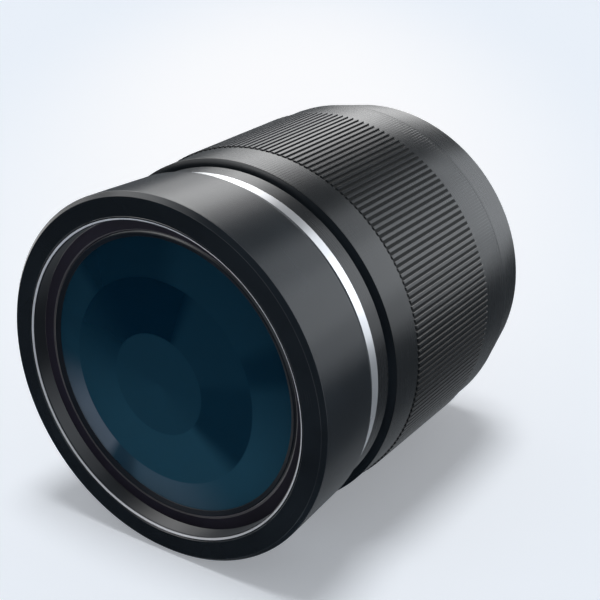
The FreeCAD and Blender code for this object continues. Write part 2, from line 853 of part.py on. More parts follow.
def front_cell():
    """Holds the front doublet."""
    step = doublet_apex + doublet_edge
    wide = doublet_radius + d.turning_gap
    thread = doublet_radius + d.cell_thread_step
    narrow = inner_glass_radius + d.turning_gap
    return turned("front_cell", [
        (thread, d.front_stop_face + d.front_stop_length),
        (cell_radius, d.front_stop_face + d.front_stop_length),
        (cell_radius, d.iris_front),
        (narrow, d.iris_front),
        (narrow, front_joint),
        (wide, front_joint),
        (wide, step),
        (thread, step),
    ])


def front_cell_ring():
    """Screwed into the front cell, it holds the front doublet."""
    rear = doublet_apex + ring_hold
    return turned("front_cell_ring", bored_ring(
        cell_ring_bore_radius, doublet_radius + d.cell_thread_step - d.fixed_gap,
        rear - d.cell_ring_length, rear))


def rear_cell():
    """Holds the rear doublet."""
    step = rear_apex - doublet_edge
    wide = doublet_radius + d.turning_gap
    thread = doublet_radius + d.cell_thread_step
    narrow = inner_glass_radius + d.turning_gap
    return turned("rear_cell", [
        (narrow, d.iris_rear),
        (cell_radius, d.iris_rear),
        (cell_radius, d.rear_cell_rear),
        (thread, d.rear_cell_rear),
        (thread, step),
        (wide, step),
        (wide, rear_joint),
        (narrow, rear_joint),
    ])


def rear_cell_ring():
    """Screwed into the rear cell, it holds the rear doublet."""
    front = rear_apex - ring_hold
    return turned("rear_cell_ring", bored_ring(
        cell_ring_bore_radius, doublet_radius + d.cell_thread_step - d.fixed_gap,
        front, front + d.cell_ring_length))


def rear_element_cell():
    """Holds the rear glass."""
    glass_bore = rear_glass_radius + d.turning_gap
    thread = rear_glass_radius + d.cell_thread_step
    step = rear_glass_edge() + d.shoulder_gap
    return turned("rear_element_cell", [
        (rear_cell_bore_radius, d.rear_cell_rear),
        (cell_radius, d.rear_cell_rear),
        (cell_radius, d.rear_glass_cell_rear),
        (thread, d.rear_glass_cell_rear),
        (thread, step),
        (glass_bore, step),
        (glass_bore, d.rear_glass_face),
        (rear_cell_bore_radius, d.rear_glass_face),
    ])


def rear_glass_edge():
    return d.rear_glass_face + d.rear_glass_thickness - sag(d.rear_glass_curve, rear_glass_radius)


def rear_element_ring():
    """Screwed into its cell, it holds the rear glass."""
    front = (d.rear_glass_face + d.rear_glass_thickness
             - sag(d.rear_glass_curve, rear_ring_bore_radius) + d.shoulder_gap)
    return turned("rear_element_ring", bored_ring(
        rear_ring_bore_radius, rear_glass_radius + d.cell_thread_step - d.fixed_gap,
        front, front + d.cell_ring_length))


def barrel_retaining_ring():
    """Screwed into the back of the lens barrel, it clamps the cells and the iris together."""
    return turned("barrel_retaining_ring", bored_ring(
        clamp_ring_bore_radius, cell_radius, d.rear_glass_cell_rear,
        d.rear_glass_cell_rear + d.clamp_ring_length))


def iris_ring():
    """The smooth front barrel, which turns to open and close the iris."""
    lip_radius = filter_ring_radius + d.shoulder_gap
    body = new_body("iris_ring")
    turn_profile(body, "profile", [
        (lip_radius, ZERO),
        (rim_face_radius, ZERO),
        (rim_edge_radius, d.rim_chamfer_length),
        (barrel_tail_radius, d.barrel_length - d.barrel_tail_length),
        (barrel_end_radius, d.barrel_length),
        (iris_ring_bore, d.barrel_length),
        (iris_ring_bore, d.front_lip_length),
        (lip_radius, d.front_lip_length),
    ])
    radial_hole(body, "screw_hole", d.drive_screw_place, d.drive_screw_radius + d.fixed_gap,
                d.tube_radius, rim_edge_radius)
    return body


def iris_drive_screw():
    """A grub screw through the tube's slot that ties the front barrel to the link sleeve."""
    outer = barrel_tail_radius - d.drive_screw_sink
    body = radial_pin("iris_drive_screw", d.drive_screw_place, d.drive_screw_radius,
                      link_bore_radius() + d.fixed_gap, outer)
    radial_hole(body, "socket", d.drive_screw_place, d.drive_socket_radius,
                outer - d.drive_socket_depth, outer)
    return body


def link_bore_radius():
    return cell_barrel_radius + d.turning_gap


def iris_link_sleeve():
    """Turns between the focus tube and the lens barrel and carries the iris ring's turn inwards."""
    body = new_body("iris_link_sleeve")
    turn_profile(body, "profile", bored_ring(
        link_bore_radius(), guide_radius, d.link_sleeve_front, d.link_sleeve_rear))
    radial_hole(body, "screw_hole", d.drive_screw_place, d.drive_screw_radius + d.fixed_gap,
                cell_bore_radius, d.tube_radius)
    radial_hole(body, "pin_hole", cam_pin_place(), d.cam_pin_radius + d.fixed_gap,
                cell_bore_radius, d.tube_radius)
    return body


def cam_front():
    return d.iris_front + d.hub_plate_thickness + d.shoulder_gap


def cam_rear():
    return cam_front() + d.cam_ring_length


def cam_pin_place():
    """The middle of the cam ring's thickness."""
    return cam_front() + d.cam_ring_length / 2


def cam_ring_radius():
    return cell_bore_radius - d.turning_gap


def iris_cam_pin():
    """Joins the link sleeve to the cam ring through the lens barrel's slot."""
    return radial_pin("iris_cam_pin", cam_pin_place(), d.cam_pin_radius,
                      cam_ring_radius() - d.cam_pin_depth, tube_bore_radius - 2 * d.turning_gap)


def drive_pin_path(share):
    """Where a blade's drive pin is in the turning cam ring, at a share of the iris ring's turn."""
    blade_turn = BLADE_RATIO * d.iris_turn
    lever_angle = share * blade_turn - blade_turn / 2 - 90
    across = blade_pivot_radius + d.blade_lever * cosine(lever_angle)
    along = d.blade_lever * sine(lever_angle)
    ring_turn = share * d.iris_turn
    return (
        across * cosine(ring_turn) + along * sine(ring_turn),
        along * cosine(ring_turn) - across * sine(ring_turn),
    )


def draw_arc_slot(sketch, first, between, last, half_width):
    """Draw a slot with round ends along the arc through three points, running clockwise."""
    a, b, c = (complex(across.value, along.value) for across, along in (first, between, last))
    turn = (c - a) / (b - a)
    middle = (b - a) * (turn - abs(turn) ** 2) / (2j * turn.imag) + a
    radius = abs(a - middle)
    half = half_width.value
    start = math.atan2((c - middle).imag, (c - middle).real)
    stop = math.atan2((a - middle).imag, (a - middle).real)

    def arc(centre, size, begin, end):
        circle = Part.Circle(Vector(centre.real, centre.imag, 0), Vector(0, 0, 1), size)
        return sketch.addGeometry(Part.ArcOfCircle(circle, begin, end), False)

    outer = arc(middle, radius + half, start, stop)
    inner = arc(middle, radius - half, start, stop)
    first_cap = arc(a, half, stop, stop + math.pi)
    last_cap = arc(c, half, start + math.pi, start + 2 * math.pi)
    guide = sketch.addGeometry(
        Part.Circle(Vector(middle.real, middle.imag, 0), Vector(0, 0, 1), radius), True)
    mark = sketch.addGeometry(Part.Point(Vector(b.real, b.imag, 0)), True)
    sketch.addConstraint(Sketcher.Constraint("Tangent", outer, 2, first_cap, 1))
    sketch.addConstraint(Sketcher.Constraint("Tangent", first_cap, 2, inner, 2))
    sketch.addConstraint(Sketcher.Constraint("Tangent", inner, 1, last_cap, 1))
    sketch.addConstraint(Sketcher.Constraint("Tangent", last_cap, 2, outer, 1))
    sketch.addConstraint(Sketcher.Constraint("Coincident", inner, 3, guide, 3))
    sketch.addConstraint(Sketcher.Constraint("Coincident", outer, 3, guide, 3))
    sketch.addConstraint(Sketcher.Constraint("PointOnObject", first_cap, 3, guide))
    sketch.addConstraint(Sketcher.Constraint("PointOnObject", mark, 1, guide))
    number = sketch.addConstraint(Sketcher.Constraint("Radius", first_cap, half))
    bind(sketch, f"Constraints[{number}]", half_width)
    bind_point(sketch, first_cap, 3, *first)
    bind_point(sketch, last_cap, 3, *last)
    bind_point(sketch, mark, 1, *between)


def iris_cam_ring():
    """The slotted ring that swings the blades. It turns on the hub plate."""
    body = new_body("iris_cam_ring")
    turn_profile(body, "profile", bored_ring(
        iris_hub_radius + d.turning_gap, cam_ring_radius(), cam_front(), cam_rear()))
    sketch = new_sketch(body, "cam_slot", "XZ_Plane")
    bind(sketch, "AttachmentOffset.Base.z", -cam_front())
    draw_arc_slot(sketch, drive_pin_path(0), drive_pin_path(0.5), drive_pin_path(1),
                  d.blade_pin_radius + d.turning_gap)
    slot = extrude(body, sketch, "cam_slot", d.cam_ring_length, "PartDesign::Pocket", backwards=True)
    repeat(body, [slot], d.blade_count)
    radial_hole(body, "pin_hole", cam_pin_place(), d.cam_pin_radius + d.fixed_gap,
                cam_ring_radius() - d.cam_pin_depth - d.fixed_gap, cell_bore_radius)
    return body


def iris_hub_plate():
    """The fixed plate in front of the blades, with the hub that the cam ring turns on."""
    return turned("iris_hub_plate", [
        (d.iris_opening_radius, d.iris_front),
        (cell_radius, d.iris_front),
        (cell_radius, d.iris_front + d.hub_plate_thickness),
        (iris_hub_radius, d.iris_front + d.hub_plate_thickness),
        (iris_hub_radius, cam_rear()),
        (d.iris_opening_radius, cam_rear()),
    ])


def blade_front(layer):
    return cam_rear() + d.shoulder_gap + layer * d.blade_pitch


def pivot_plate_front():
    return blade_front(d.blade_count)


def iris_pivot_plate():
    """The fixed plate behind the blades, with a hole for each blade's pivot."""
    front = pivot_plate_front()
    body = new_body("iris_pivot_plate")
    turn_profile(body, "profile", bored_ring(d.iris_opening_radius, cell_radius, front, d.iris_rear))
    hole = disc_feature(
        body, "pivot_hole", (blade_pivot_radius, ZERO, d.blade_pin_radius + d.turning_gap),
        front, d.iris_rear, "PartDesign::Pocket")
    repeat(body, [hole], d.blade_count)
    return body


def iris_blade(layer):
    """One thin blade with its pivot behind and its drive pin in front, in a layer of its own."""
    front = blade_front(layer)
    rear = front + d.blade_thickness
    body = new_body(f"iris_blade_{layer + 1}")
    bind(body, "Placement.Rotation.Angle", -d.index_angle - layer * 360 / d.blade_count)
    turn_profile(
        body, "leaf", bored_ring(d.iris_opening_radius, blade_outer_radius, front, rear),
        start=-d.blade_root_angle, sweep=d.blade_span)
    margin = d.blade_tab_margin
    plate_feature(body, "tab", [
        (blade_outer_radius - margin, margin),
        (blade_pivot_radius + margin, margin),
        (blade_pivot_radius + margin, -d.blade_lever - margin),
        (blade_pivot_radius - margin, -d.blade_lever - margin),
        (blade_outer_radius - margin, -margin / 4),
    ], front, rear)
    disc_feature(body, "pivot", (blade_pivot_radius, ZERO, d.blade_pin_radius),
                 front, pivot_plate_front() + d.blade_pin_reach)
    disc_feature(body, "drive_pin", (*drive_pin_path(0), d.blade_pin_radius),
                 cam_rear() - d.blade_pin_reach, rear)
    return body


def build_everything():
    """Make every part, and return them in order."""
    fixed = [rear_barrel(), guide_sleeve(), focus_retaining_ring(), retaining_ring_screws(),
             focus_stop_pin(), camera_mount_ring(), mount_screws(), rear_baffle()]
    turning = [focus_ring(), helicoid_nut()]
    head = [focus_tube(), guide_keys(), chrome_ring(), filter_ring(), trim_ring(),
            front_retaining_ring(), lens_barrel(), front_element(), second_element(),
            third_element(), front_cell(), front_cell_ring(), iris_hub_plate(), iris_pivot_plate(),
            rear_cell(), fourth_element(), fifth_element(), rear_cell_ring(), rear_element_cell(),
            sixth_element(), rear_element_ring(), barrel_retaining_ring()]
    iris = [iris_ring(), iris_drive_screw(), iris_link_sleeve(), iris_cam_pin(), iris_cam_ring()]
    blades = [iris_blade(layer) for layer in range(int(d.blade_count.value))]
    return fixed + turning + head + iris + blades


parts = build_everything()
doc.recompute()

troubled = [item.Name for item in doc.Objects if "Invalid" in item.State or "Error" in item.State]
for item in parts:
    if item.Shape.isNull() or not item.Shape.isValid():
        troubled.append(item.Label)
if troubled:
    raise RuntimeError(f"These did not build: {troubled}")

os.makedirs("parts", exist_ok=True)
for item in parts:
    item.Shape.exportStep(f"parts/{item.Label}.step")
    print(item.Label, len(item.Shape.Solids), round(item.Shape.Volume, 2))
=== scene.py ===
"""The dressed line scan lens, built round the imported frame.

Every new piece is a surface turned about the optical axis. That axis is Y, with the mounting flange
at y = 0 and the front face at y = -FLANGE_DISTANCE. Sections are in millimetres, and the finished
surfaces and the studio are in metres. A depth is a distance behind the front face, and an angle
turns about the axis from +X towards +Z.
"""

import json
import logging
import math
from collections.abc import Callable, Sequence
from dataclasses import dataclass, replace
from enum import Enum

import bpy
import numpy as np
from mathutils import Matrix, Vector

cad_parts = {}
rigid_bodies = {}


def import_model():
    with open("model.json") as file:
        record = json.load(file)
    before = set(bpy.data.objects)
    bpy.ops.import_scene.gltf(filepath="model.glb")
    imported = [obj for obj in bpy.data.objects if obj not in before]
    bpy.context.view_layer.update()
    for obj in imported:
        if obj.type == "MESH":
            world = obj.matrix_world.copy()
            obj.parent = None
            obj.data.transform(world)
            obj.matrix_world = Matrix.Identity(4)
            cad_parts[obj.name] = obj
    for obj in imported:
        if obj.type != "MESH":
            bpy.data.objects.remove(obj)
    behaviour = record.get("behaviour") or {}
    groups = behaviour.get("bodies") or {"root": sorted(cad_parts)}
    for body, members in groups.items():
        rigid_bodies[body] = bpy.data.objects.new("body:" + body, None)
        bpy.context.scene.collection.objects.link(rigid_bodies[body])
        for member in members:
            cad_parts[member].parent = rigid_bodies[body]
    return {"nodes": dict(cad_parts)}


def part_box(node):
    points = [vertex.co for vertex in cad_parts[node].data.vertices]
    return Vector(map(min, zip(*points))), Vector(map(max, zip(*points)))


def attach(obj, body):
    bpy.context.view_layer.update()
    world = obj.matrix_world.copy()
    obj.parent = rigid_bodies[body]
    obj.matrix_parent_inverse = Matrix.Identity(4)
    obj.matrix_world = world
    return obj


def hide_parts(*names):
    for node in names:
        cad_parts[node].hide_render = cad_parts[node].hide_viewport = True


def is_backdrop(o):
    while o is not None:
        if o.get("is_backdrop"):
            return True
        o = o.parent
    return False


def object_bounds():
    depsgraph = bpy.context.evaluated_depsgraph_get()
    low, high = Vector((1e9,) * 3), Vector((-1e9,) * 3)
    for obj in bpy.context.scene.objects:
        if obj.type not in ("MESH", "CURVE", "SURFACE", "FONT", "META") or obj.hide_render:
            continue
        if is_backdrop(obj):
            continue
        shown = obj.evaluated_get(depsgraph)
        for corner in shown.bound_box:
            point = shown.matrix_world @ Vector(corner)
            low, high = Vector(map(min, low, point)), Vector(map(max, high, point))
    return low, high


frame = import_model()

logging.basicConfig(level=logging.INFO, format="%(message)s")
log = logging.getLogger("lens")

Colour = tuple[float, float, float]
Relief = Callable[[np.ndarray, np.ndarray, np.ndarray], np.ndarray]

MILLIMETRE = 0.001
FLANGE_DISTANCE = 78.2
WEAR_LAYER = "edge_wear"
SHARP_ANGLE = 35.0
EDGE = 0.05
PIN_COLUMNS = 40
TINY = 1e-9
SAME_POINT = 1e-5
SAME_RADIUS = 1e-3
NEARLY_ONE = 0.999999
MIX_FIRST, MIX_SECOND, MIX_RESULT = 6, 7, 2
NO_TRIANGLES = np.zeros((0, 3), dtype=int)


class Body(Enum):
    """The moving bodies of the frame that new pieces ride on."""

    HOUSING = "rear_housing"
    FOCUS = "focus_ring_body"
    HEAD = "lens_head"
    IRIS = "iris_ring_body"


class Slot(Enum):
    """The record's material slots."""

    DARK_BARREL = "dark_barrel"
    GREY_TUBE = "grey_tube"
    BLACK_METAL = "black_metal"
    BRIGHT_RING = "bright_ring"
    THREAD_BRASS = "thread_brass"
    SCREW_STEEL = "screw_steel"
    BLADE_STEEL = "blade_steel"
    FRONT_GLASS = "front_glass"
    INNER_GLASS = "inner_glass"


@dataclass(frozen=True)
class Corner:
    """One corner of a section, with the radius that rounds it off.

    A plainly broken edge is rounded by EDGE, and a point of a curve by 0.
    """

    radius: float
    depth: float
    rounding: float = 0.0


@dataclass(frozen=True)
class Section:
    """The outline that is turned about the axis, listed from the front outwards and then rearwards."""

    radius: np.ndarray
    depth: np.ndarray
    normal: np.ndarray
    wear: np.ndarray
    closed: bool


@dataclass(frozen=True)
class Surface:
    """A finished mesh as arrays: points in metres, faces as corner lists, normals and edge wear."""

    points: np.ndarray
    quads: np.ndarray
    triangles: np.ndarray
    normals: np.ndarray | None
    wear: np.ndarray

    def middles(self) -> tuple[np.ndarray, np.ndarray]:
        """Gives the radius and the depth of the middle of each quad, in millimetres."""
        middle = self.points[self.quads].mean(axis=1) / MILLIMETRE
        return np.hypot(middle[:, 0], middle[:, 2]), middle[:, 1] + FLANGE_DISTANCE


def rounded_section(corners: Sequence[Corner], closed: bool = True, steps: int = 4) -> Section:
    """Rounds the corners of a section off with arcs.

    The arc at a corner is centre + side * rounding * n, where n swings evenly from the normal of the
    run before the corner to that of the run after it, and side is 1 outside and -1 inside a hollow.

    Args:
        corners: The corners, from the front inner one outwards.
        closed: False if the first and last corner lie on the axis.
        steps: The steps of each arc.

    Returns:
        The section with its normals, and edge wear that is 1 at the middle of each outer arc.
    """
    place = np.array([[corner.radius, corner.depth] for corner in corners])
    rounding = np.array([corner.rounding for corner in corners])[:, None, None]
    run = np.roll(place, -1, axis=0) - place
    run = run / np.maximum(np.linalg.norm(run, axis=1, keepdims=True), TINY)
    if not closed:
        run[-1] = run[-2]
    before = np.roll(run, 1, axis=0)
    if not closed:
        before[0] = run[0]
    side = np.sign(before[:, 0] * run[:, 1] - before[:, 1] * run[:, 0] + TINY)[:, None, None]
    first = np.stack([before[:, 1], -before[:, 0]], axis=1)[:, None, :]
    last = np.stack([run[:, 1], -run[:, 0]], axis=1)[:, None, :]
    likeness = np.clip(np.sum(first * last, axis=2, keepdims=True), -NEARLY_ONE, NEARLY_ONE)
    swing = np.arccos(likeness)
    share = np.linspace(0, 1, steps + 1)[None, :, None]
    normal = (np.sin((1 - share) * swing) * first + np.sin(share * swing) * last) / np.sin(swing)
    middle = (first + last) / np.linalg.norm(first + last, axis=2, keepdims=True)
    normal = np.where(rounding > 0, normal, middle)
    centre = place[:, None, :] - side * rounding * (first + last) / (1 + likeness)
    points = (centre + side * rounding * normal).reshape(-1, 2)
    wear = (np.sin(np.pi * share) * (rounding > 0) * (side > 0)).reshape(-1)
    normal = normal.reshape(-1, 2)
    keep = np.linalg.norm(points - np.roll(points, 1, axis=0), axis=1) > SAME_POINT
    if not closed:
        keep[0] = True
    return Section(points[keep, 0], points[keep, 1], normal[keep], wear[keep], closed)


def steadied(section: Section, front: float, rear: float, share: float) -> Section:
    """Leans a slight cone's normals towards straight out, so that it is lit nearly as a cylinder is.

    Args:
        section: The section.
        front: Where the stretch starts, as a depth.
        rear: Where it ends.
        share: What is left of the normals' lean along the axis.

    Returns:
        The section with the new normals.
    """
    steepest = 0.85
    chosen = (section.depth > front) & (section.depth < rear) & (section.normal[:, 0] > steepest)
    normal = section.normal.copy()
    normal[chosen, 1] *= share
    return replace(section, normal=normal / np.linalg.norm(normal, axis=1, keepdims=True))


def even_turn(columns: int) -> np.ndarray:
    """Gives the angles of evenly spaced columns round the axis, in radians."""
    return np.arange(columns) * (2 * np.pi / columns)


def curve(radii: np.ndarray | float, depths: np.ndarray | Sequence[float]) -> list[Corner]:
    """Gives the points of a curve as corners that aren't rounded."""
    return [Corner(float(radius), float(depth)) for radius, depth in np.broadcast(radii, depths)]


def outward(angle: float) -> Vector:
    """Gives the direction straight out from the axis at an angle in degrees."""
    return Vector((math.cos(math.radians(angle)), 0, math.sin(math.radians(angle))))


def turn(section: Section, angles: np.ndarray, relief: Relief | None = None) -> Surface:
    """Turns a section about the optical axis.

    A point is (r cos a, depth - flange distance, r sin a), where r is the section's radius, or what
    relief makes of it from the angle, the depth and the radius.

    Args:
        section: The section to turn.
        angles: The columns' angles in radians.
        relief: Gives the radius of each point where the surface isn't plainly round.

    Returns:
        The surface, with its seam closed and its poles closed by fans.
    """
    rows = slice(None) if section.closed else slice(1, -1)
    even = np.ones((1, len(angles)))
    radius = section.radius[rows, None] * even
    depth = section.depth[rows, None] * even
    wear = section.wear[rows, None] * even
    angle = np.ones_like(radius) * angles
    if relief is not None:
        radius = relief(angle, depth, radius)
    out, along = section.normal[rows, 0, None], section.normal[rows, 1, None] * even
    points = np.stack([radius * np.cos(angle), depth - FLANGE_DISTANCE, radius * np.sin(angle)], axis=2)
    normals = np.stack([out * np.cos(angle), along, out * np.sin(angle)], axis=2)
    count, columns = radius.shape
    here = np.arange(count if section.closed else count - 1)[:, None] * columns
    ahead = (here + columns) % (count * columns)
    column = np.arange(columns)
    beside = (column + 1) % columns
    quads = np.stack([here + column, ahead + column, ahead + beside, here + beside], axis=2).reshape(-1, 4)
    points, normals, wear = points.reshape(-1, 3), normals.reshape(-1, 3), wear.reshape(-1)
    triangles = NO_TRIANGLES
    if not section.closed:
        front, rear = len(points), len(points) + 1
        poles = [[0, section.depth[end] - FLANGE_DISTANCE, 0] for end in (0, -1)]
        points = np.vstack([points, poles])
        normals = np.vstack([normals, [[0, -1, 0], [0, 1, 0]]])
        wear = np.append(wear, [0, 0])
        last_row = (count - 1) * columns
        front_fan = np.stack([np.full(columns, front), column, beside], axis=1)
        rear_fan = np.stack([last_row + column, np.full(columns, rear), last_row + beside], axis=1)
        triangles = np.vstack([front_fan, rear_fan])
    return Surface(points * MILLIMETRE, quads, triangles, None if relief else normals, wear)


def pin(radius: float, front: float, rear: float) -> Surface:
    """Gives a closed round pin on the axis, which is then moved to where it cuts a hole.

    Args:
        radius: Its radius.
        front: The depth of its front end.
        rear: The depth of its rear end.

    Returns:
        Its surface.
    """
    ends = [Corner(0, front), Corner(radius, front, 0.01), Corner(radius, rear, 0.01), Corner(0, rear)]
    return turn(rounded_section(ends, closed=False, steps=1), even_turn(PIN_COLUMNS))


def moved(surface: Surface, matrix: Matrix) -> Surface:
    """Carries a surface by a matrix.

    Args:
        surface: The surface.
        matrix: The turn and shift, in metres.

    Returns:
        The carried copy.
    """
    whole = np.array(matrix)
    points = surface.points @ whole[:3, :3].T + whole[:3, 3]
    normals = None if surface.normals is None else surface.normals @ whole[:3, :3].T
    return replace(surface, points=points, normals=normals)


def joined(surfaces: Sequence[Surface]) -> Surface:
    """Puts several surfaces into one.

    Args:
        surfaces: The surfaces, none of which share a point.

    Returns:
        One surface with all their faces, and with normals only if all of them have normals.
    """
    starts = np.cumsum([0] + [len(surface.points) for surface in surfaces[:-1]])
    plain = any(surface.normals is None for surface in surfaces)
    return Surface(
        np.vstack([surface.points for surface in surfaces]),
        np.vstack([surface.quads + start for surface, start in zip(surfaces, starts)]),
        np.vstack([surface.triangles + start for surface, start in zip(surfaces, starts)]),
        None if plain else np.vstack([surface.normals for surface in surfaces]),
        np.concatenate([surface.wear for surface in surfaces]),
    )


def to_mesh(name: str, surface: Surface) -> bpy.types.Mesh:
    """Writes a surface into a new mesh in whole arrays.

    Args:
        name: The mesh's name.
        surface: The surface, whose quads come first among the mesh's faces.

    Returns:
        The mesh, with the edge wear as an attribute.
    """
    mesh = bpy.data.meshes.new(name)
    mesh.vertices.add(len(surface.points))
    mesh.vertices.foreach_set("co", surface.points.astype(np.float32).ravel())
    corners = np.concatenate([surface.quads.ravel(), surface.triangles.ravel()])
    sizes = np.concatenate([np.full(len(surface.quads), 4), np.full(len(surface.triangles), 3)])
    mesh.loops.add(len(corners))
    mesh.loops.foreach_set("vertex_index", corners.astype(np.int32))
    mesh.polygons.add(len(sizes))
    mesh.polygons.foreach_set("loop_start", (np.cumsum(sizes) - sizes).astype(np.int32))
    mesh.update(calc_edges=True)
    mesh.validate()
    layer = mesh.attributes.new(WEAR_LAYER, "FLOAT", "POINT")
    layer.data.foreach_set("value", surface.wear.astype(np.float32))
    mesh.shade_smooth()
    if surface.normals is not None:
        mesh.normals_split_custom_set_from_vertices(surface.normals.tolist())
    return mesh


class Wire:
    """An output of a shader tree. Arithmetic on it adds Math nodes."""

    def __init__(self, shader: "Shader", node: bpy.types.Node, output: str | int = 0) -> None:
        """Keeps where the wire starts.

        Args:
            shader: The tree that the node is in.
            node: The node that the wire leaves.
            output: The name or number of the socket that it leaves from.
        """
        self.shader = shader
        self.node = node
        self.socket = node.outputs[output]

    def of(self, output: str | int) -> "Wire":
        """Gives another output of the same node."""
        return Wire(self.shader, self.node, output)

    def maths(self, operation: str, *values: "Wire | float") -> "Wire":
        """Adds one Math node with the given values as its inputs."""
        return self.shader.node("ShaderNodeMath", {"operation": operation}, dict(enumerate(values)))

    def __add__(self, other: "Wire | float") -> "Wire":
        """Adds."""
        return self.maths("ADD", self, other)

    __radd__ = __add__

    def __sub__(self, other: "Wire | float") -> "Wire":
        """Takes other away."""
        return self.maths("SUBTRACT", self, other)

    def __rsub__(self, other: float) -> "Wire":
        """Takes this away from other."""
        return self.maths("SUBTRACT", other, self)

    def __mul__(self, other: "Wire | float") -> "Wire":
        """Multiplies."""
        return self.maths("MULTIPLY", self, other)

    __rmul__ = __mul__

    def __truediv__(self, other: "Wire | float") -> "Wire":
        """Divides by other."""
        return self.maths("DIVIDE", self, other)

    def root(self) -> "Wire":
        """Takes the square root."""
        return self.maths("SQRT", self)

    def ease(self, low: float, high: float) -> "Wire":
        """Rises smoothly from 0 at low to 1 at high."""
        inputs = {"Value": self, "From Min": low, "From Max": high}
        return self.shader.node("ShaderNodeMapRange", {"interpolation_type": "SMOOTHSTEP"}, inputs)


class Shader:
    """The node tree of a material or a world, and the wires that the finishes start from."""

    def __init__(self, holder: bpy.types.Material | bpy.types.World) -> None:
        """Empties the tree.

        Args:
            holder: The new material or world that has the tree.
        """
        holder.use_nodes = True
        self.holder = holder
        self.tree = holder.node_tree
        self.tree.nodes.clear()

    def node(self, kind: str, settings: dict[str, str] | None = None,
             inputs: dict[str | int, object] | None = None) -> Wire | None:
        """Adds a node.

        Args:
            kind: The node's type.
            settings: The node's own properties, which are set first.
            inputs: A value or a Wire for each named or numbered input.

        Returns:
            The wire from the node's first output, or None if it has no output.
        """
        made = self.tree.nodes.new(kind)
        for key, value in (settings or {}).items():
            setattr(made, key, value)
        for key, value in (inputs or {}).items():
            if isinstance(value, Wire):
                self.tree.links.new(value.socket, made.inputs[key])
            else:
                made.inputs[key].default_value = value
        return Wire(self, made) if made.outputs else None

    def position(self) -> tuple[Wire, Wire, Wire]:
        """Gives the object coordinates x, y and z, in metres."""
        split = self.node("ShaderNodeSeparateXYZ", inputs={0: self.node("ShaderNodeTexCoord").of("Object")})
        return split.of("X"), split.of("Y"), split.of("Z")

    def vector(self, x: Wire | float, y: Wire | float, z: Wire | float = 0.0) -> Wire:
        """Joins three numbers into a vector."""
        return self.node("ShaderNodeCombineXYZ", inputs={0: x, 1: y, 2: z})

    def noise(self, place: Wire, scale: float, detail: float = 2.0, dimensions: str = "3D") -> Wire:
        """Gives soft noise from 0 to 1 at a place, with its scale in cells to the unit."""
        inputs = {"Vector": place, "Scale": scale, "Detail": detail}
        return self.node("ShaderNodeTexNoise", {"noise_dimensions": dimensions}, inputs).of("Fac")

    def mix(self, share: Wire | float, first: Wire | Colour, second: Wire | Colour) -> Wire:
        """Mixes two colours, from the first at share 0 to the second at share 1."""
        inputs = {0: share, MIX_FIRST: opaque(first), MIX_SECOND: opaque(second)}
        return self.node("ShaderNodeMix", {"data_type": "RGBA", "blend_type": "MIX"}, inputs).of(MIX_RESULT)

    def bump(self, height: Wire, distance: float, before: Wire | None = None) -> Wire:
        """Gives a normal that a height tilts.

        Args:
            height: The height, from 0 to 1.
            distance: The height's full rise in metres.
            before: The normal that it tilts, if not the surface's own.

        Returns:
            The new normal.
        """
        inputs = {"Height": height, "Distance": distance, "Strength": 1.0}
        if before is not None:
            inputs["Normal"] = before
        return self.node("ShaderNodeBump", inputs=inputs)

    def wear(self) -> Wire:
        """Gives the edge wear that the new pieces carry, which is 0 on the frame's own nodes."""
        return self.node("ShaderNodeAttribute", {"attribute_name": WEAR_LAYER}).of("Fac")

    def finish(self, **inputs: Wire | float | Colour) -> bpy.types.Material:
        """Closes a material's tree with a Principled shader.

        Args:
            inputs: Its inputs by name, with _ for each space.

        Returns:
            The material.
        """
        named = {key.replace("_", " "): value for key, value in inputs.items()}
        named["Base Color"] = opaque(named["Base Color"])
        surface = self.node("ShaderNodeBsdfPrincipled", inputs=named)
        self.node("ShaderNodeOutputMaterial", inputs={"Surface": surface})
        return self.holder


def opaque(colour: Wire | Colour) -> Wire | tuple[float, float, float, float]:
    """Gives a plain colour its alpha, and leaves a wire as it is."""
    return colour if isinstance(colour, Wire) else (*colour, 1.0)


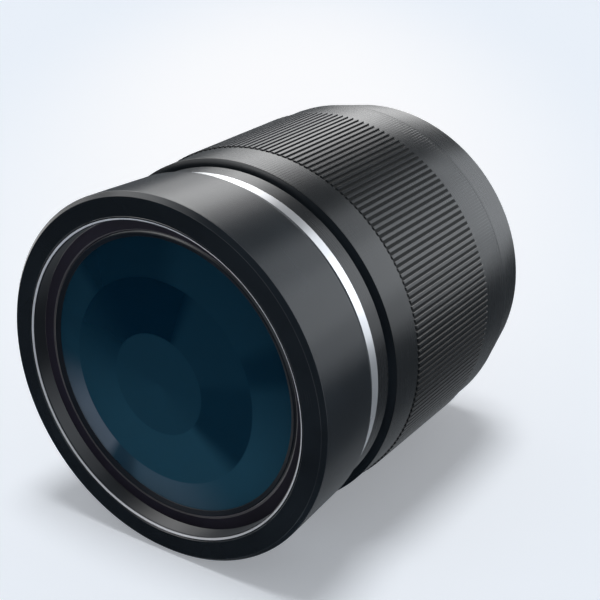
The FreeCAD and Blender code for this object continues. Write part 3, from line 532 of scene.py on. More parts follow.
@dataclass(frozen=True)
class TurnedMetal:
    """Metal from a lathe: fine rings about the axis, soft clouds in the finish and worn edges."""

    name: str
    colour: Colour
    worn_colour: Colour
    metallic: float
    roughness: float
    clouding: float = 0.18
    cloud_scale: float = 70.0
    cloud_ends: tuple[float, float] = (0.3, 0.75)
    roughness_spread: float = 0.06
    ring_pitch: float = 0.09
    ring_depth: float = 0.0006
    grain_scale: float = 6000.0
    grain_depth: float = 0.0004
    wear_reach: float = 0.55
    wear_even: float = 0.35
    wear_patchy: float = 0.9
    wear_full: float = 1.15
    wear_polish: float = 0.05
    gloss: float = 0.5

    def make(self) -> bpy.types.Material:
        """Builds the material: wear shows where the edge layer and the clouds together are high.

        Returns:
            The material.
        """
        shader = Shader(bpy.data.materials.new(self.name))
        x, y, z = shader.position()
        radius = (x * x + z * z).root()
        place = shader.vector(x, y, z)
        rings = shader.noise(shader.vector(radius, y), 1 / (self.ring_pitch * MILLIMETRE), 3.0, "2D")
        cloud = shader.noise(place, self.cloud_scale, 3.0)
        grain = shader.noise(place, self.grain_scale, 1.0)
        patches = cloud * self.wear_patchy + self.wear_even
        worn = (shader.wear() * patches).ease(1 - self.wear_reach, self.wear_full)
        pale = tuple(min(1.0, part * (1 + 2 * self.clouding)) for part in self.colour)
        colour = shader.mix(cloud.ease(*self.cloud_ends), self.colour, pale)
        colour = shader.mix(worn, colour, self.worn_colour)
        uneven = (cloud + rings - 1.0) * self.roughness_spread
        normal = shader.bump(rings, self.ring_depth * MILLIMETRE)
        normal = shader.bump(grain, self.grain_depth * MILLIMETRE, normal)
        return shader.finish(Base_Color=colour, Metallic=self.metallic, Normal=normal,
                             Roughness=self.roughness + uneven - worn * self.wear_polish,
                             Specular_IOR_Level=self.gloss)


@dataclass(frozen=True)
class Wedge:
    """A stretch of the glass round the axis that is painted lighter, as a painted reflection, with its angles
    in degrees.
    """

    start: float
    end: float
    amount: float
    soft_start: float = 4.0
    soft_end: float = 4.0


@dataclass(frozen=True)
class GlassZone:
    """One ring of the coated glass: how light it is painted, and the wedges of painted reflection in which it
    is lighter.

    The elements behind lie deeper, so the edge of each ring seems shifted down and to the left.
    """

    outer_radius: float
    light: float
    wedges: tuple[Wedge, ...] = ()
    shift: float = 0.0
    edge: float = 0.15


@dataclass(frozen=True)
class CoatedGlass:
    """Deep coated glass with painted rings for the elements behind, and painted reflections and shade."""

    name: str
    deep: Colour
    clear: Colour
    zones: tuple[GlassZone, ...]
    # A pale painted reflection lies on the outermost ring, in its own colour and within its own wedges.
    painted_reflection_colour: Colour = (0.0, 0.0, 0.0)
    painted_reflection: tuple[Wedge, ...] = ()
    shift_angle: float = 222.0
    roughness: float = 0.04
    smear: float = 0.05
    smear_scale: float = 90.0
    refraction: float = 1.52

    def make(self) -> bpy.types.Material:
        """Builds the material: the zones' painted light mixes the two colours, and a painted reflection lies
        on the last zone.

        Returns:
            The material.
        """
        shader = Shader(bpy.data.materials.new(self.name))
        x, y, z = shader.position()
        angle = z.maths("ARCTAN2", z, x) * math.degrees(1)
        light = self.total(angle, self.zones[0].light, self.zones[0].wedges)
        for inner, zone in zip(self.zones, self.zones[1:]):
            beyond = self.beyond(x, z, inner)
            light = light * (1 - beyond) + self.total(angle, zone.light, zone.wedges) * beyond
        colour = shader.mix(light, self.deep, self.clear)
        if self.painted_reflection:
            painted_reflection = self.total(angle, 0.0, self.painted_reflection) * self.beyond(x, z, self.zones[-2])
            colour = shader.mix(painted_reflection, colour, self.painted_reflection_colour)
        smear = shader.noise(shader.vector(x, y, z), self.smear_scale, 3.0) * self.smear
        return shader.finish(Base_Color=colour, Roughness=smear + self.roughness, IOR=self.refraction)

    def beyond(self, x: Wire, z: Wire, zone: GlassZone) -> Wire:
        """Rises from 0 inside a zone's outer edge to 1 outside it.

        Args:
            x: The place across the axis, in metres.
            z: The place above the axis.
            zone: The zone, whose edge is a circle shifted by its shift.

        Returns:
            The share that lies outside.
        """
        shift = outward(self.shift_angle) * zone.shift
        across = x / MILLIMETRE - shift.x
        up = z / MILLIMETRE - shift.z
        distance = (across * across + up * up).root()
        return distance.ease(zone.outer_radius - zone.edge, zone.outer_radius + zone.edge)

    @staticmethod
    def total(angle: Wire, base: float, wedges: Sequence[Wedge]) -> Wire | float:
        """Adds the wedges to a base. Each is its amount where the angle lies between its two soft ends.

        Args:
            angle: The angle about the axis, in degrees.
            base: The level where there is no wedge.
            wedges: The wedges.

        Returns:
            The level, which is the base alone if there are no wedges.
        """
        level = base
        for wedge in wedges:
            half = (wedge.end - wedge.start) / 2
            offset = angle.maths("WRAP", angle - (wedge.start + half), 180.0, -180.0)
            rise = offset.ease(-half - wedge.soft_start, -half + wedge.soft_start)
            fall = offset.ease(half - wedge.soft_end, half + wedge.soft_end)
            level = level + rise * (1 - fall) * wedge.amount
        return level


Finish = TurnedMetal | CoatedGlass

BLACK_SATIN = TurnedMetal("satin_black", (0.0100, 0.0140, 0.0185), (0.10, 0.105, 0.115), 0.0, 0.25,
                          gloss=0.375)
CONE_BLACK = TurnedMetal("cone_black", (0.0075, 0.0094, 0.0112), (0.10, 0.105, 0.115), 0.0, 0.27, gloss=0.62)
RIB_BLACK = TurnedMetal("rib_black", (0.0070, 0.0090, 0.0108), (0.06, 0.063, 0.07), 0.0, 0.26,
                        wear_reach=0.3, gloss=0.55)
TUBE_GREY = TurnedMetal("tube_grey", (0.0090, 0.0104, 0.0122), (0.12, 0.12, 0.13), 0.0, 0.26)
TRIM_BLACK = TurnedMetal("trim_black", (0.0142, 0.0115, 0.0270), (0.05, 0.045, 0.05), 0.0, 0.5,
                         ring_pitch=0.25, ring_depth=0.004)
MATT_BLACK = TurnedMetal("matt_black", (0.006, 0.006, 0.0065), (0.03, 0.03, 0.03), 0.0, 0.6)
HOLDER_BLACK = TurnedMetal("holder_black", (0.0095, 0.0132, 0.0195), (0.014, 0.018, 0.024), 0.0, 0.4,
                           wear_reach=0.3, gloss=0.12)
SEAT_BLACK = TurnedMetal("seat_black", (0.0120, 0.0145, 0.0185), (0.08, 0.08, 0.09), 0.0, 0.30,
                         wear_reach=0.4, gloss=0.29)
# Painted shade for the floors between the ribs, which is also duller.
GAP_SHADE_BLACK = TurnedMetal("gap_painted_shade", (0.0035, 0.0045, 0.0055), (0.02, 0.02, 0.02), 0.0, 0.45, gloss=0.10)
# Pale grey painted on the trim's bevel as a painted highlight.
TRIM_HIGHLIGHT_GREY = TurnedMetal("trim_highlight_grey", (0.085, 0.082, 0.088), (0.10, 0.10, 0.10), 0.0, 0.50, gloss=0.05)
MOUNT_BLACK = TurnedMetal("mount_black", (0.012, 0.012, 0.013), (0.22, 0.22, 0.23), 0.0, 0.32,
                          wear_reach=0.7)
LINE_SILVER = TurnedMetal("line_silver", (0.64, 0.65, 0.68), (0.80, 0.80, 0.82), 0.12, 0.38, clouding=0.04)
BRIGHT_SILVER = TurnedMetal("bright_silver", (0.78, 0.79, 0.81), (0.95, 0.95, 0.95), 0.70, 0.25,
                            clouding=0.05)
THREAD_BRASS = TurnedMetal("thread_brass", (0.50, 0.33, 0.13), (0.8, 0.6, 0.3), 1.0, 0.3)
SCREW_STEEL = TurnedMetal("screw_steel", (0.36, 0.36, 0.37), (0.7, 0.7, 0.7), 1.0, 0.27)
BLADE_STEEL = TurnedMetal("blade_steel", (0.03, 0.03, 0.032), (0.1, 0.1, 0.1), 0.5, 0.42)

# The front glass's rings and wedges are painted reflections and painted shade; deep is its colour where
# painted darkest, clear where painted lightest.
FRONT_GLASS = CoatedGlass(
    "front_glass_blue", deep=(0.0001, 0.0115, 0.0270), clear=(0.0165, 0.0635, 0.1000),
    zones=(
        GlassZone(9.9, 0.50, (Wedge(185, 325, 0.18, 40, 40),), shift=0.7),
        GlassZone(20.25, 0.06, (
            Wedge(160, 318, 0.50, 40, 9), Wedge(195, 318, 0.40, 40, 9),
            Wedge(318, 372, 0.18, 9, 5), Wedge(372, 429, 0.30, 5, 6)), shift=0.95),
        GlassZone(27.0, 0.20, (
            Wedge(140, 235, 0.30, 5, 3), Wedge(172, 235, 0.16, 8, 3), Wedge(235, 247, 0.26, 3, 3),
            Wedge(247, 350, 0.50, 3, 28), Wedge(247, 372, 0.30, 3, 5), Wedge(388, 446, 0.22, 5, 9))),
    ),
    painted_reflection_colour=(0.165, 0.200, 0.250),
    painted_reflection=(Wedge(196, 233, 0.72, 16, 3), Wedge(233, 247, 0.07, 3, 8), Wedge(247, 288, 0.26, 8, 22)),
)
# The rear and inner glasses also carry painted rings and wedges of painted reflection.
REAR_GLASS = CoatedGlass(
    "rear_glass_green", deep=(0.002, 0.007, 0.006), clear=(0.012, 0.032, 0.030),
    zones=(GlassZone(8.0, 0.6), GlassZone(15.0, 0.35, (Wedge(0, 140, 0.3, 30, 30),)),
           GlassZone(26.0, 0.15, (Wedge(-10, 130, 0.3, 30, 30),))),
)
INNER_GLASS = CoatedGlass("inner_glass", deep=(0.002, 0.008, 0.012), clear=(0.01, 0.03, 0.05),
                          zones=(GlassZone(10.0, 0.5), GlassZone(26.0, 0.2)))

SLOT_FINISHES = {
    Slot.DARK_BARREL: BLACK_SATIN,
    Slot.GREY_TUBE: TUBE_GREY,
    Slot.BLACK_METAL: MATT_BLACK,
    Slot.BRIGHT_RING: BRIGHT_SILVER,
    Slot.THREAD_BRASS: THREAD_BRASS,
    Slot.SCREW_STEEL: SCREW_STEEL,
    Slot.BLADE_STEEL: BLADE_STEEL,
    Slot.FRONT_GLASS: FRONT_GLASS,
    Slot.INNER_GLASS: INNER_GLASS,
}


class Workshop:
    """Makes the materials once each, and turns surfaces into pieces that ride on the frame."""

    def __init__(self) -> None:
        """Starts with no material made."""
        self.materials: dict[str, bpy.types.Material] = {}

    def material(self, finish: Finish) -> bpy.types.Material:
        """Gives a finish's material, made when it is first asked for.

        Args:
            finish: The finish.

        Returns:
            Its one material, which all its pieces share.
        """
        if finish.name not in self.materials:
            self.materials[finish.name] = finish.make()
        return self.materials[finish.name]

    def piece(self, name: str, surface: Surface, finish: Finish, body: Body, node: str,
              cutters: Sequence[Surface] = (), accents: Sequence[tuple[Finish, np.ndarray]] = ()) -> None:
        """Makes a piece, cuts its holes, ties it to its body and hides the frame's node that it stands for.

        Args:
            name: The piece's name.
            surface: Its shape.
            finish: Its finish.
            body: The body that it rides on.
            node: The frame's node that it stands for.
            cutters: Closed surfaces that are cut out of it.
            accents: Further finishes for a piece without cutters, each with the quads that it goes on.
        """
        made = bpy.data.objects.new(name, to_mesh(name, surface))
        bpy.context.scene.collection.objects.link(made)
        for number, cutter in enumerate(cutters):
            self.cut(made, to_mesh(f"{name}_cutter_{number}", cutter))
        made.data.materials.append(self.material(finish))
        index = np.zeros(len(made.data.polygons), dtype=np.int32)
        for number, (accent, chosen) in enumerate(accents, start=1):
            made.data.materials.append(self.material(accent))
            index[:len(chosen)][chosen] = number
        made.data.polygons.foreach_set("material_index", index)
        if surface.normals is None or cutters:
            made.data.set_sharp_from_angle(angle=math.radians(SHARP_ANGLE))
            made.modifiers.new("even_normals", "WEIGHTED_NORMAL").keep_sharp = True
        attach(made, body.value)
        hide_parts(node)
        log.info("%s: %d faces on %s", name, len(made.data.polygons), body.value)

    @staticmethod
    def cut(target: bpy.types.Object, cutter_mesh: bpy.types.Mesh) -> None:
        """Cuts one closed mesh out of an object and keeps the result as its mesh.

        Args:
            target: The object.
            cutter_mesh: The closed mesh, which is used up.
        """
        cutter = bpy.data.objects.new(cutter_mesh.name, cutter_mesh)
        bpy.context.scene.collection.objects.link(cutter)
        change = target.modifiers.new("cut", "BOOLEAN")
        change.operation = "DIFFERENCE"
        change.solver = "EXACT"
        change.object = cutter
        graph = bpy.context.evaluated_depsgraph_get()
        result = bpy.data.meshes.new_from_object(target.evaluated_get(graph))
        target.modifiers.clear()
        spare = target.data
        target.data = result
        bpy.data.meshes.remove(spare)
        bpy.data.objects.remove(cutter)
        bpy.data.meshes.remove(cutter_mesh)
        result.shade_smooth()


@dataclass
class IrisRing:
    """The front ring that turns the iris, with the hole of its drive screw on the hidden side."""

    front_bore: float = 31.45
    face_radius: float = 35.0
    edge_radius: float = 35.8
    chamfer: float = 0.85
    tail_radius: float = 34.98
    tail_chamfer: float = 1.85
    tail_end_radius: float = 33.95
    tail_lean: float = 0.4
    length: float = 17.98
    bore: float = 33.08
    lip: float = 1.5
    hole_radius: float = 0.95
    hole_depth: float = 14.5
    hole_angle: float = 225.0
    hole_start: float = 30.0
    hole_length: float = 8.0
    columns: int = 384

    def section(self) -> Section:
        """Gives the ring's section, with its tail's normals steadied.

        Returns:
            The section.
        """
        section = rounded_section([
            Corner(self.front_bore, 0.0, 0.02),
            Corner(self.face_radius, 0.0, 0.18),
            Corner(self.edge_radius, self.chamfer, 0.30),
            Corner(self.tail_radius, self.length - self.tail_chamfer, 0.5),
            Corner(self.tail_end_radius, self.length, 0.06),
            Corner(self.bore, self.length, 0.08),
            Corner(self.bore, self.lip, EDGE),
            Corner(self.front_bore, self.lip, 0.08),
        ], steps=5)
        return steadied(section, self.length - self.tail_chamfer, self.length - 0.1, self.tail_lean)

    def hole(self) -> Surface:
        """Gives the radial screw hole as a closed pin to cut out.

        Returns:
            The pin, set at the flange, pushed out, laid over and turned to its place.
        """
        at_flange = Matrix.Translation((0, FLANGE_DISTANCE * MILLIMETRE, 0))
        pushed = Matrix.Translation((0, self.hole_start * MILLIMETRE, 0))
        laid = Matrix.Rotation(math.radians(-90), 4, "Z")
        turned = Matrix.Rotation(math.radians(-self.hole_angle), 4, "Y")
        placed = Matrix.Translation((0, (self.hole_depth - FLANGE_DISTANCE) * MILLIMETRE, 0))
        return moved(pin(self.hole_radius, 0, self.hole_length), placed @ turned @ laid @ pushed @ at_flange)

    def build(self, workshop: Workshop) -> None:
        """Makes the ring."""
        workshop.piece("iris_ring_turned", turn(self.section(), even_turn(self.columns)), BLACK_SATIN,
                       Body.IRIS, "iris_ring", cutters=[self.hole()])


@dataclass
class FilterSeat:
    """The ring that a filter screws into, with the silver bevel at its front edge."""

    outer_radius: float = 31.36
    front: float = 0.05
    rear: float = 4.4
    thread_radius: float = 30.6
    thread_front: float = 0.44
    bevel_radius: float = 30.78
    bevel_depth: float = 0.27
    line_radius: float = 31.10
    columns: int = 384

    def build(self, workshop: Workshop) -> None:
        """Makes the ring, silver on its bevel.

        Args:
            workshop: Where the piece is made.
        """
        surface = turn(rounded_section([
            Corner(self.bevel_radius, self.bevel_depth, 0.03), Corner(self.line_radius, self.front, 0.03),
            Corner(self.outer_radius, self.front, 0.03), Corner(self.outer_radius, self.rear, EDGE),
            Corner(self.thread_radius, self.rear, EDGE), Corner(self.thread_radius, self.thread_front, 0.04),
        ], steps=3), even_turn(self.columns))
        radius, depth = surface.middles()
        bevel = (depth < self.bevel_depth) & (radius < self.line_radius + 0.01)
        face = (depth < self.bevel_depth) & ~bevel
        workshop.piece("filter_seat", surface, SEAT_BLACK, Body.HEAD, "filter_ring",
                       accents=[(LINE_SILVER, bevel), (BLACK_SATIN, face)])


@dataclass
class FrontGlass:
    """The domed front element, the black trim round it and the ring that holds it."""

    radius: float = 27.0
    curve: float = 110.0
    back: float = 9.0
    rows: int = 60
    trim_bore: float = 27.84
    trim_radius: float = 30.5
    trim_front: float = 3.0
    trim_rear: float = 4.4
    trim_bevel: float = 0.40
    painted_highlight_edge: float = 0.22
    lip_radius: float = 26.80
    lip_front: float = 3.25
    lip_rear: float = 3.41
    crest_radius: float = 27.56
    crest_depth: float = 2.80
    seat_radius: float = 27.08
    holder_radius: float = 27.76
    holder_front: float = 2.90
    holder_rear: float = 5.90
    columns: int = 256

    def dome(self, radius: np.ndarray, apex: float) -> np.ndarray:
        """Gives the depth of the sphere's surface at a radius."""
        return apex + self.curve - np.sqrt(self.curve ** 2 - radius ** 2)

    def glass(self) -> Surface:
        """Gives the front element, whose dome starts where the frame's node starts.

        Returns:
            The element's surface.
        """
        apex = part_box("front_element")[0][1] / MILLIMETRE + FLANGE_DISTANCE
        radii = np.linspace(0, self.radius - 0.1, self.rows)
        edge = float(self.dome(np.array(self.radius), apex))
        return turn(rounded_section([
            *curve(radii, self.dome(radii, apex)), Corner(self.radius, edge, EDGE),
            Corner(self.radius, self.back, 0.2), Corner(0, self.back),
        ], closed=False), even_turn(self.columns))

    def trim(self) -> tuple[Surface, np.ndarray]:
        """Gives the flat trim and its bevel, whose outer part is painted pale grey as a painted highlight.

        Returns:
            The trim's surface, and the quads of the painted highlight.
        """
        bevel_radius = self.trim_bore + self.trim_bevel
        surface = turn(rounded_section([
            Corner(self.trim_bore, self.trim_front + self.trim_bevel, EDGE),
            Corner(bevel_radius - self.painted_highlight_edge, self.trim_front + self.painted_highlight_edge),
            Corner(bevel_radius, self.trim_front, 0.03), Corner(self.trim_radius, self.trim_front, 0.15),
            Corner(self.trim_radius, self.trim_rear, 0.1), Corner(self.trim_bore, self.trim_rear, 0.1),
        ]), even_turn(self.columns))
        radius, depth = surface.middles()
        painted_highlight_edge = (radius > bevel_radius - self.painted_highlight_edge) & (radius < bevel_radius + 0.01)
        return surface, painted_highlight_edge & (depth < self.trim_front + self.painted_highlight_edge - 0.02)

    def holder(self) -> Surface:
        """Gives the holding ring, whose bevelled lip reaches over the glass's edge.

        Returns:
            The ring's surface.
        """
        return turn(rounded_section([
            Corner(self.lip_radius, self.lip_front, EDGE), Corner(self.crest_radius, self.crest_depth, 0.04),
            Corner(self.holder_radius, self.holder_front, 0.06),
            Corner(self.holder_radius, self.holder_rear, 0.1),
            Corner(self.seat_radius, self.holder_rear, 0.1),
            Corner(self.seat_radius, self.lip_rear, 0.03), Corner(self.lip_radius, self.lip_rear, 0.03),
        ]), even_turn(self.columns))

    def build(self, workshop: Workshop) -> None:
        """Makes the glass, the trim and the holding ring.

        Args:
            workshop: Where the pieces are made.
        """
        trim, painted_highlight_edge = self.trim()
        workshop.piece("front_glass", self.glass(), FRONT_GLASS, Body.HEAD,
                       "front_element")
        workshop.piece("front_trim", trim, TRIM_BLACK, Body.HEAD, "trim_ring",
                       accents=[(TRIM_HIGHLIGHT_GREY, painted_highlight_edge)])
        workshop.piece("glass_holder", self.holder(), HOLDER_BLACK, Body.HEAD,
                       "front_retaining_ring")


@dataclass
class SleeveTrim:
    """The bright ring that shows between the iris ring and the focus ring."""

    inner_radius: float = 33.05
    outer_radius: float = 33.74
    front: float = 18.10
    rear: float = 20.43
    columns: int = 384

    def build(self, workshop: Workshop) -> None:
        """Makes the bright ring.

        Args:
            workshop: Where the piece is made.
        """
        section = rounded_section([
            Corner(self.inner_radius, self.front, EDGE), Corner(self.outer_radius, self.front, 0.14),
            Corner(self.outer_radius, self.rear, 0.08), Corner(self.inner_radius, self.rear, EDGE),
        ], steps=5)
        workshop.piece("bright_trim_ring", turn(section, even_turn(self.columns)), BRIGHT_SILVER,
                       Body.HEAD, "chrome_ring")


@dataclass
class FocusRing:
    """The focus ring with its band of straight ribs.

    rib_shape gives a rib's height round the ring, as shares of its pitch and of its height, and
    rib_end its height at distances from its end.
    """

    radius: float = 35.4
    front: float = 23.6
    face_slope: float = 0.60
    rear: float = 67.60
    lip_radius: float = 33.82
    lip_rear: float = 27.0
    bore: float = 34.30
    bearing_radius: float = 33.6
    bearing_front: float = 62.0
    bearing_rear: float = 63.5
    rib_front: float = 31.85
    rib_rear: float = 59.70
    rib_margin: float = 0.02
    rib_height: float = 0.35
    # Below this height over the ring, the ribs' floors and flanks get painted shade.
    shade_height: float = 0.2
    rib_count: int = 180
    rib_shape: tuple[tuple[float, float], ...] = (
        (0.0, 0.0), (0.208, 0.0), (0.230, 0.05), (0.248, 0.80), (0.276, 0.97), (0.320, 1.0),
        (0.680, 1.0), (0.724, 0.97), (0.752, 0.80), (0.770, 0.05), (0.792, 0.0))
    rib_end: tuple[tuple[float, float], ...] = ((0.0, 0.0), (0.04, 0.85), (0.13, 1.0))

    def angles(self) -> np.ndarray:
        """Puts the columns on the corners of every rib.

        Returns:
            The columns' angles in radians.
        """
        phases = np.array([phase for phase, _ in self.rib_shape])
        ribs = np.arange(self.rib_count)[:, None]
        return ((ribs + phases[None, :]) * (2 * np.pi / self.rib_count)).ravel()

    def window(self) -> tuple[np.ndarray, np.ndarray]:
        """Puts the ribs' two ends together.

        Returns:
            The depths where the ribs' height changes, and the share of it at each.
        """
        steps, shares = np.array(self.rib_end).T
        depths = np.concatenate([self.rib_front + steps, self.rib_rear - steps[::-1]])
        return depths, np.concatenate([shares, shares[::-1]])

    def relief(self, angle: np.ndarray, depth: np.ndarray, radius: np.ndarray) -> np.ndarray:
        """Raises the ribs: their shape round the ring times a window along it.

        Args:
            angle: The points' angles in radians.
            depth: Their depths.
            radius: Their radii on the plain ring.

        Returns:
            Their radii on the ribbed ring.
        """
        phases, heights = zip(*self.rib_shape, (1.0, 0.0))
        phase = np.mod(angle * self.rib_count / (2 * np.pi) + TINY, 1.0)
        height = np.interp(phase, phases, heights) * np.interp(depth, *self.window()) * self.rib_height
        return radius + np.where(np.abs(radius - self.radius) < SAME_RADIUS, height, 0)

    def build(self, workshop: Workshop) -> None:
        """Makes the ring and its ribs as one closed surface, with painted shade and a duller finish between
        the ribs and low on their flanks.

        Args:
            workshop: Where the piece is made.
        """
        depths, _ = self.window()
        rows = [self.rib_front - self.rib_margin, *depths, self.rib_rear + self.rib_margin]
        section = rounded_section([
            Corner(self.lip_radius, self.front, 0.12),
            Corner(self.radius, self.front + self.face_slope, 0.12),
            *curve(self.radius, rows),
            Corner(self.radius, self.rear, EDGE), Corner(self.bore, self.rear, 0.1),
            Corner(self.bore, self.bearing_rear, EDGE),
            Corner(self.bearing_radius, self.bearing_rear, EDGE),
            Corner(self.bearing_radius, self.bearing_front, EDGE),
            Corner(self.bore, self.bearing_front, EDGE),
            Corner(self.bore, self.lip_rear, EDGE), Corner(self.lip_radius, self.lip_rear, EDGE),
        ], steps=2)
        surface = turn(section, self.angles(), self.relief)
        radius, depth = surface.middles()
        full_ribs = (depth > depths[2]) & (depth < depths[3])
        outside = radius > self.radius - 0.1
        # Painted shade, with a duller finish, between the ribs and low on their flanks.
        painted_gap_shade = full_ribs & outside & (radius < self.radius + self.shade_height)
        face = depth < self.front + self.face_slope - 0.02
        workshop.piece("focus_ring_ribbed", surface, RIB_BLACK, Body.FOCUS, "focus_ring",
                       accents=[(GAP_SHADE_BLACK, painted_gap_shade), (BLACK_SATIN, face)])


@dataclass
class RearBarrel:
    """The fixed cone behind the focus ring."""

    ring_radius: float = 35.4
    crease: float = 67.66
    flange_radius: float = 33.03
    recess_radius: float = 32.05
    recess: float = 75.2
    exit_radius: float = 28.3
    guide_rear: float = 70.0
    guide_seat: float = 31.17
    spigot_radius: float = 33.5
    bearing_radius: float = 34.22
    spigot_front: float = 61.9
    shoulder: float = 63.6
    cone_lean: float = 0.15
    columns: int = 384

    def build(self, workshop: Workshop) -> None:
        """Makes the cone.

        Args:
            workshop: Where the piece is made.
        """
        section = rounded_section([
            Corner(self.guide_seat, self.spigot_front, EDGE),
            Corner(self.spigot_radius, self.spigot_front, EDGE),
            Corner(self.spigot_radius, self.shoulder, EDGE),
            Corner(self.bearing_radius, self.shoulder, EDGE),
            Corner(self.bearing_radius, self.crease, 0.03),
            Corner(self.ring_radius, self.crease, EDGE),
            Corner(self.flange_radius, FLANGE_DISTANCE, 0.25),
            Corner(self.recess_radius, FLANGE_DISTANCE, 0.08),
            Corner(self.recess_radius, self.recess, EDGE), Corner(self.exit_radius, self.recess, EDGE),
            Corner(self.exit_radius, self.guide_rear, EDGE), Corner(self.guide_seat, self.guide_rear, EDGE),
        ], steps=5)
        section = steadied(section, self.crease - 0.1, FLANGE_DISTANCE - 0.1, self.cone_lean)
        workshop.piece("rear_cone", turn(section, even_turn(self.columns)), CONE_BLACK, Body.HOUSING,
                       "rear_barrel")


@dataclass
class CameraMount:
    """The mounting flange with its thread, its four screws and the baffle inside it."""

    bore: float = 26.5
    flange_radius: float = 32.0
    flange_front: float = 75.2
    thread_radius: float = 29.0
    thread_start: float = 0.5
    fade_in: float = 0.4
    fade_out: float = 0.7
    fade_end: float = 0.2
    end_groove: float = 0.4
    thread_rear: float = 83.2
    stub_bore: float = 25.6
    stub_step: float = 76.8
    pitch: float = 0.75
    rows_per_pitch: int = 10
    groove: float = 0.36
    groove_width: float = 1.25
    flank_slope: float = 2.9
    screw_circle: float = 30.5
    screw_radius: float = 1.35
    screw_edge: float = 0.06
    shank_radius: float = 0.8
    screw_sink: float = 0.15
    screw_length: float = 5.5
    socket_radius: float = 0.62
    socket_depth: float = 0.5
    screw_columns: int = 48
    screw_angles: tuple[float, ...] = (0.0, 90.0, 180.0, 270.0)
    baffle_opening: float = 22.0
    baffle_radius: float = 26.45
    baffle_front: float = 76.0
    baffle_rear: float = 76.8
    baffle_columns: int = 256
    columns: int = 360

    def thread(self, angle: np.ndarray, depth: np.ndarray, radius: np.ndarray) -> np.ndarray:
        """Cuts the helical groove of the thread, which is a clipped wave of depth / pitch - turns.

        Args:
            angle: The points' angles in radians.
            depth: Their depths.
            radius: Their radii on the plain stub.

        Returns:
            Their radii on the thread, with flanks at 60 degrees, flat crests and faded ends.
        """
        phase = np.mod(depth / self.pitch - angle / (2 * np.pi), 1.0)
        wave = np.clip(self.groove_width - self.flank_slope * np.abs(phase - 0.5), 0, 1)
        first = FLANGE_DISTANCE + self.thread_start
        ends = [first, first + self.fade_in, self.thread_rear - self.fade_out,
                self.thread_rear - self.fade_end]
        fade = np.interp(depth, ends, [0, 1, 1, self.end_groove])
        on_stub = (np.abs(radius - self.thread_radius) < SAME_RADIUS) & (depth > first)
        return radius - np.where(on_stub, wave * fade * self.groove, 0)

    def at_screw(self, surface: Surface, angle: float) -> Surface:
        """Moves a surface from the axis to the screw at an angle."""
        return moved(surface, Matrix.Translation(outward(angle) * self.screw_circle * MILLIMETRE))

    def screw(self) -> Surface:
        """Gives one flat-head screw with a hexagon socket, on the axis.

        Returns:
            The screw's surface.
        """
        face = FLANGE_DISTANCE - self.screw_sink
        tip = face - self.screw_length
        floor = face - self.socket_depth
        neck = face - (self.screw_radius - self.shank_radius)

        def hexagon(angle: np.ndarray, depth: np.ndarray, radius: np.ndarray) -> np.ndarray:
            """Stretches the socket's round wall to a hexagon: the flat's distance over a cosine.

            Args:
                angle: The points' angles in radians.
                depth: Their depths.
                radius: Their radii with a round socket.

            Returns:
                Their radii with the hexagon.
            """
            off_flat = np.mod(angle, math.pi / 3) - math.pi / 6
            in_socket = (radius < self.socket_radius + 0.05) & (depth > floor - 0.01)
            return np.where(in_socket, radius / np.cos(off_flat), radius)

        section = rounded_section([
            Corner(0, tip), Corner(self.shank_radius, tip, 0.1), Corner(self.shank_radius, neck, EDGE),
            Corner(self.screw_radius, face - self.screw_edge, 0.04),
            Corner(self.screw_radius - self.screw_edge, face, 0.03), Corner(self.socket_radius, face, 0.03),
            Corner(self.socket_radius, floor, 0.03), Corner(0, floor),
        ], closed=False, steps=3)
        return turn(section, even_turn(self.screw_columns), hexagon)

    def flange(self) -> Surface:
        """Gives the flange and its threaded stub.

        Returns:
            Their surface, without the screws' holes.
        """
        first, last = FLANGE_DISTANCE + self.thread_start - 0.05, self.thread_rear - 0.25
        threads = np.arange(first, last, self.pitch / self.rows_per_pitch)
        section = rounded_section([
            Corner(self.bore, self.flange_front, EDGE), Corner(self.flange_radius, self.flange_front, EDGE),
            Corner(self.flange_radius, FLANGE_DISTANCE, 0.1),
            Corner(self.thread_radius, FLANGE_DISTANCE, 0.08),
            *curve(self.thread_radius, threads),
            Corner(self.thread_radius, self.thread_rear, 0.2), Corner(self.stub_bore, self.thread_rear, 0.15),
            Corner(self.stub_bore, self.stub_step, EDGE), Corner(self.bore, self.stub_step, EDGE),
        ], steps=3)
        return turn(section, even_turn(self.columns), self.thread)

    def build(self, workshop: Workshop) -> None:
        """Makes the flange with its counterbores, the screws and the baffle.

        Args:
            workshop: Where the pieces are made.
        """
        counterbore = pin(self.screw_radius + 0.05, self.flange_front - 1, FLANGE_DISTANCE + 1)
        workshop.piece("camera_mount", self.flange(), MOUNT_BLACK, Body.HOUSING,
                       "camera_mount_ring",
                       cutters=[self.at_screw(counterbore, angle) for angle in self.screw_angles])
        screws = joined([self.at_screw(self.screw(), angle) for angle in self.screw_angles])
        workshop.piece("flange_screws", screws, SCREW_STEEL, Body.HOUSING, "mount_screws")
        baffle = rounded_section([
            Corner(self.baffle_opening, self.baffle_front, 0.1),
            Corner(self.baffle_radius, self.baffle_front, EDGE),
            Corner(self.baffle_radius, self.baffle_rear, EDGE),
            Corner(self.baffle_opening, self.baffle_rear, 0.3),
        ])
        workshop.piece("light_baffle", turn(baffle, even_turn(self.baffle_columns)), MATT_BLACK,
                       Body.HOUSING, "rear_baffle")


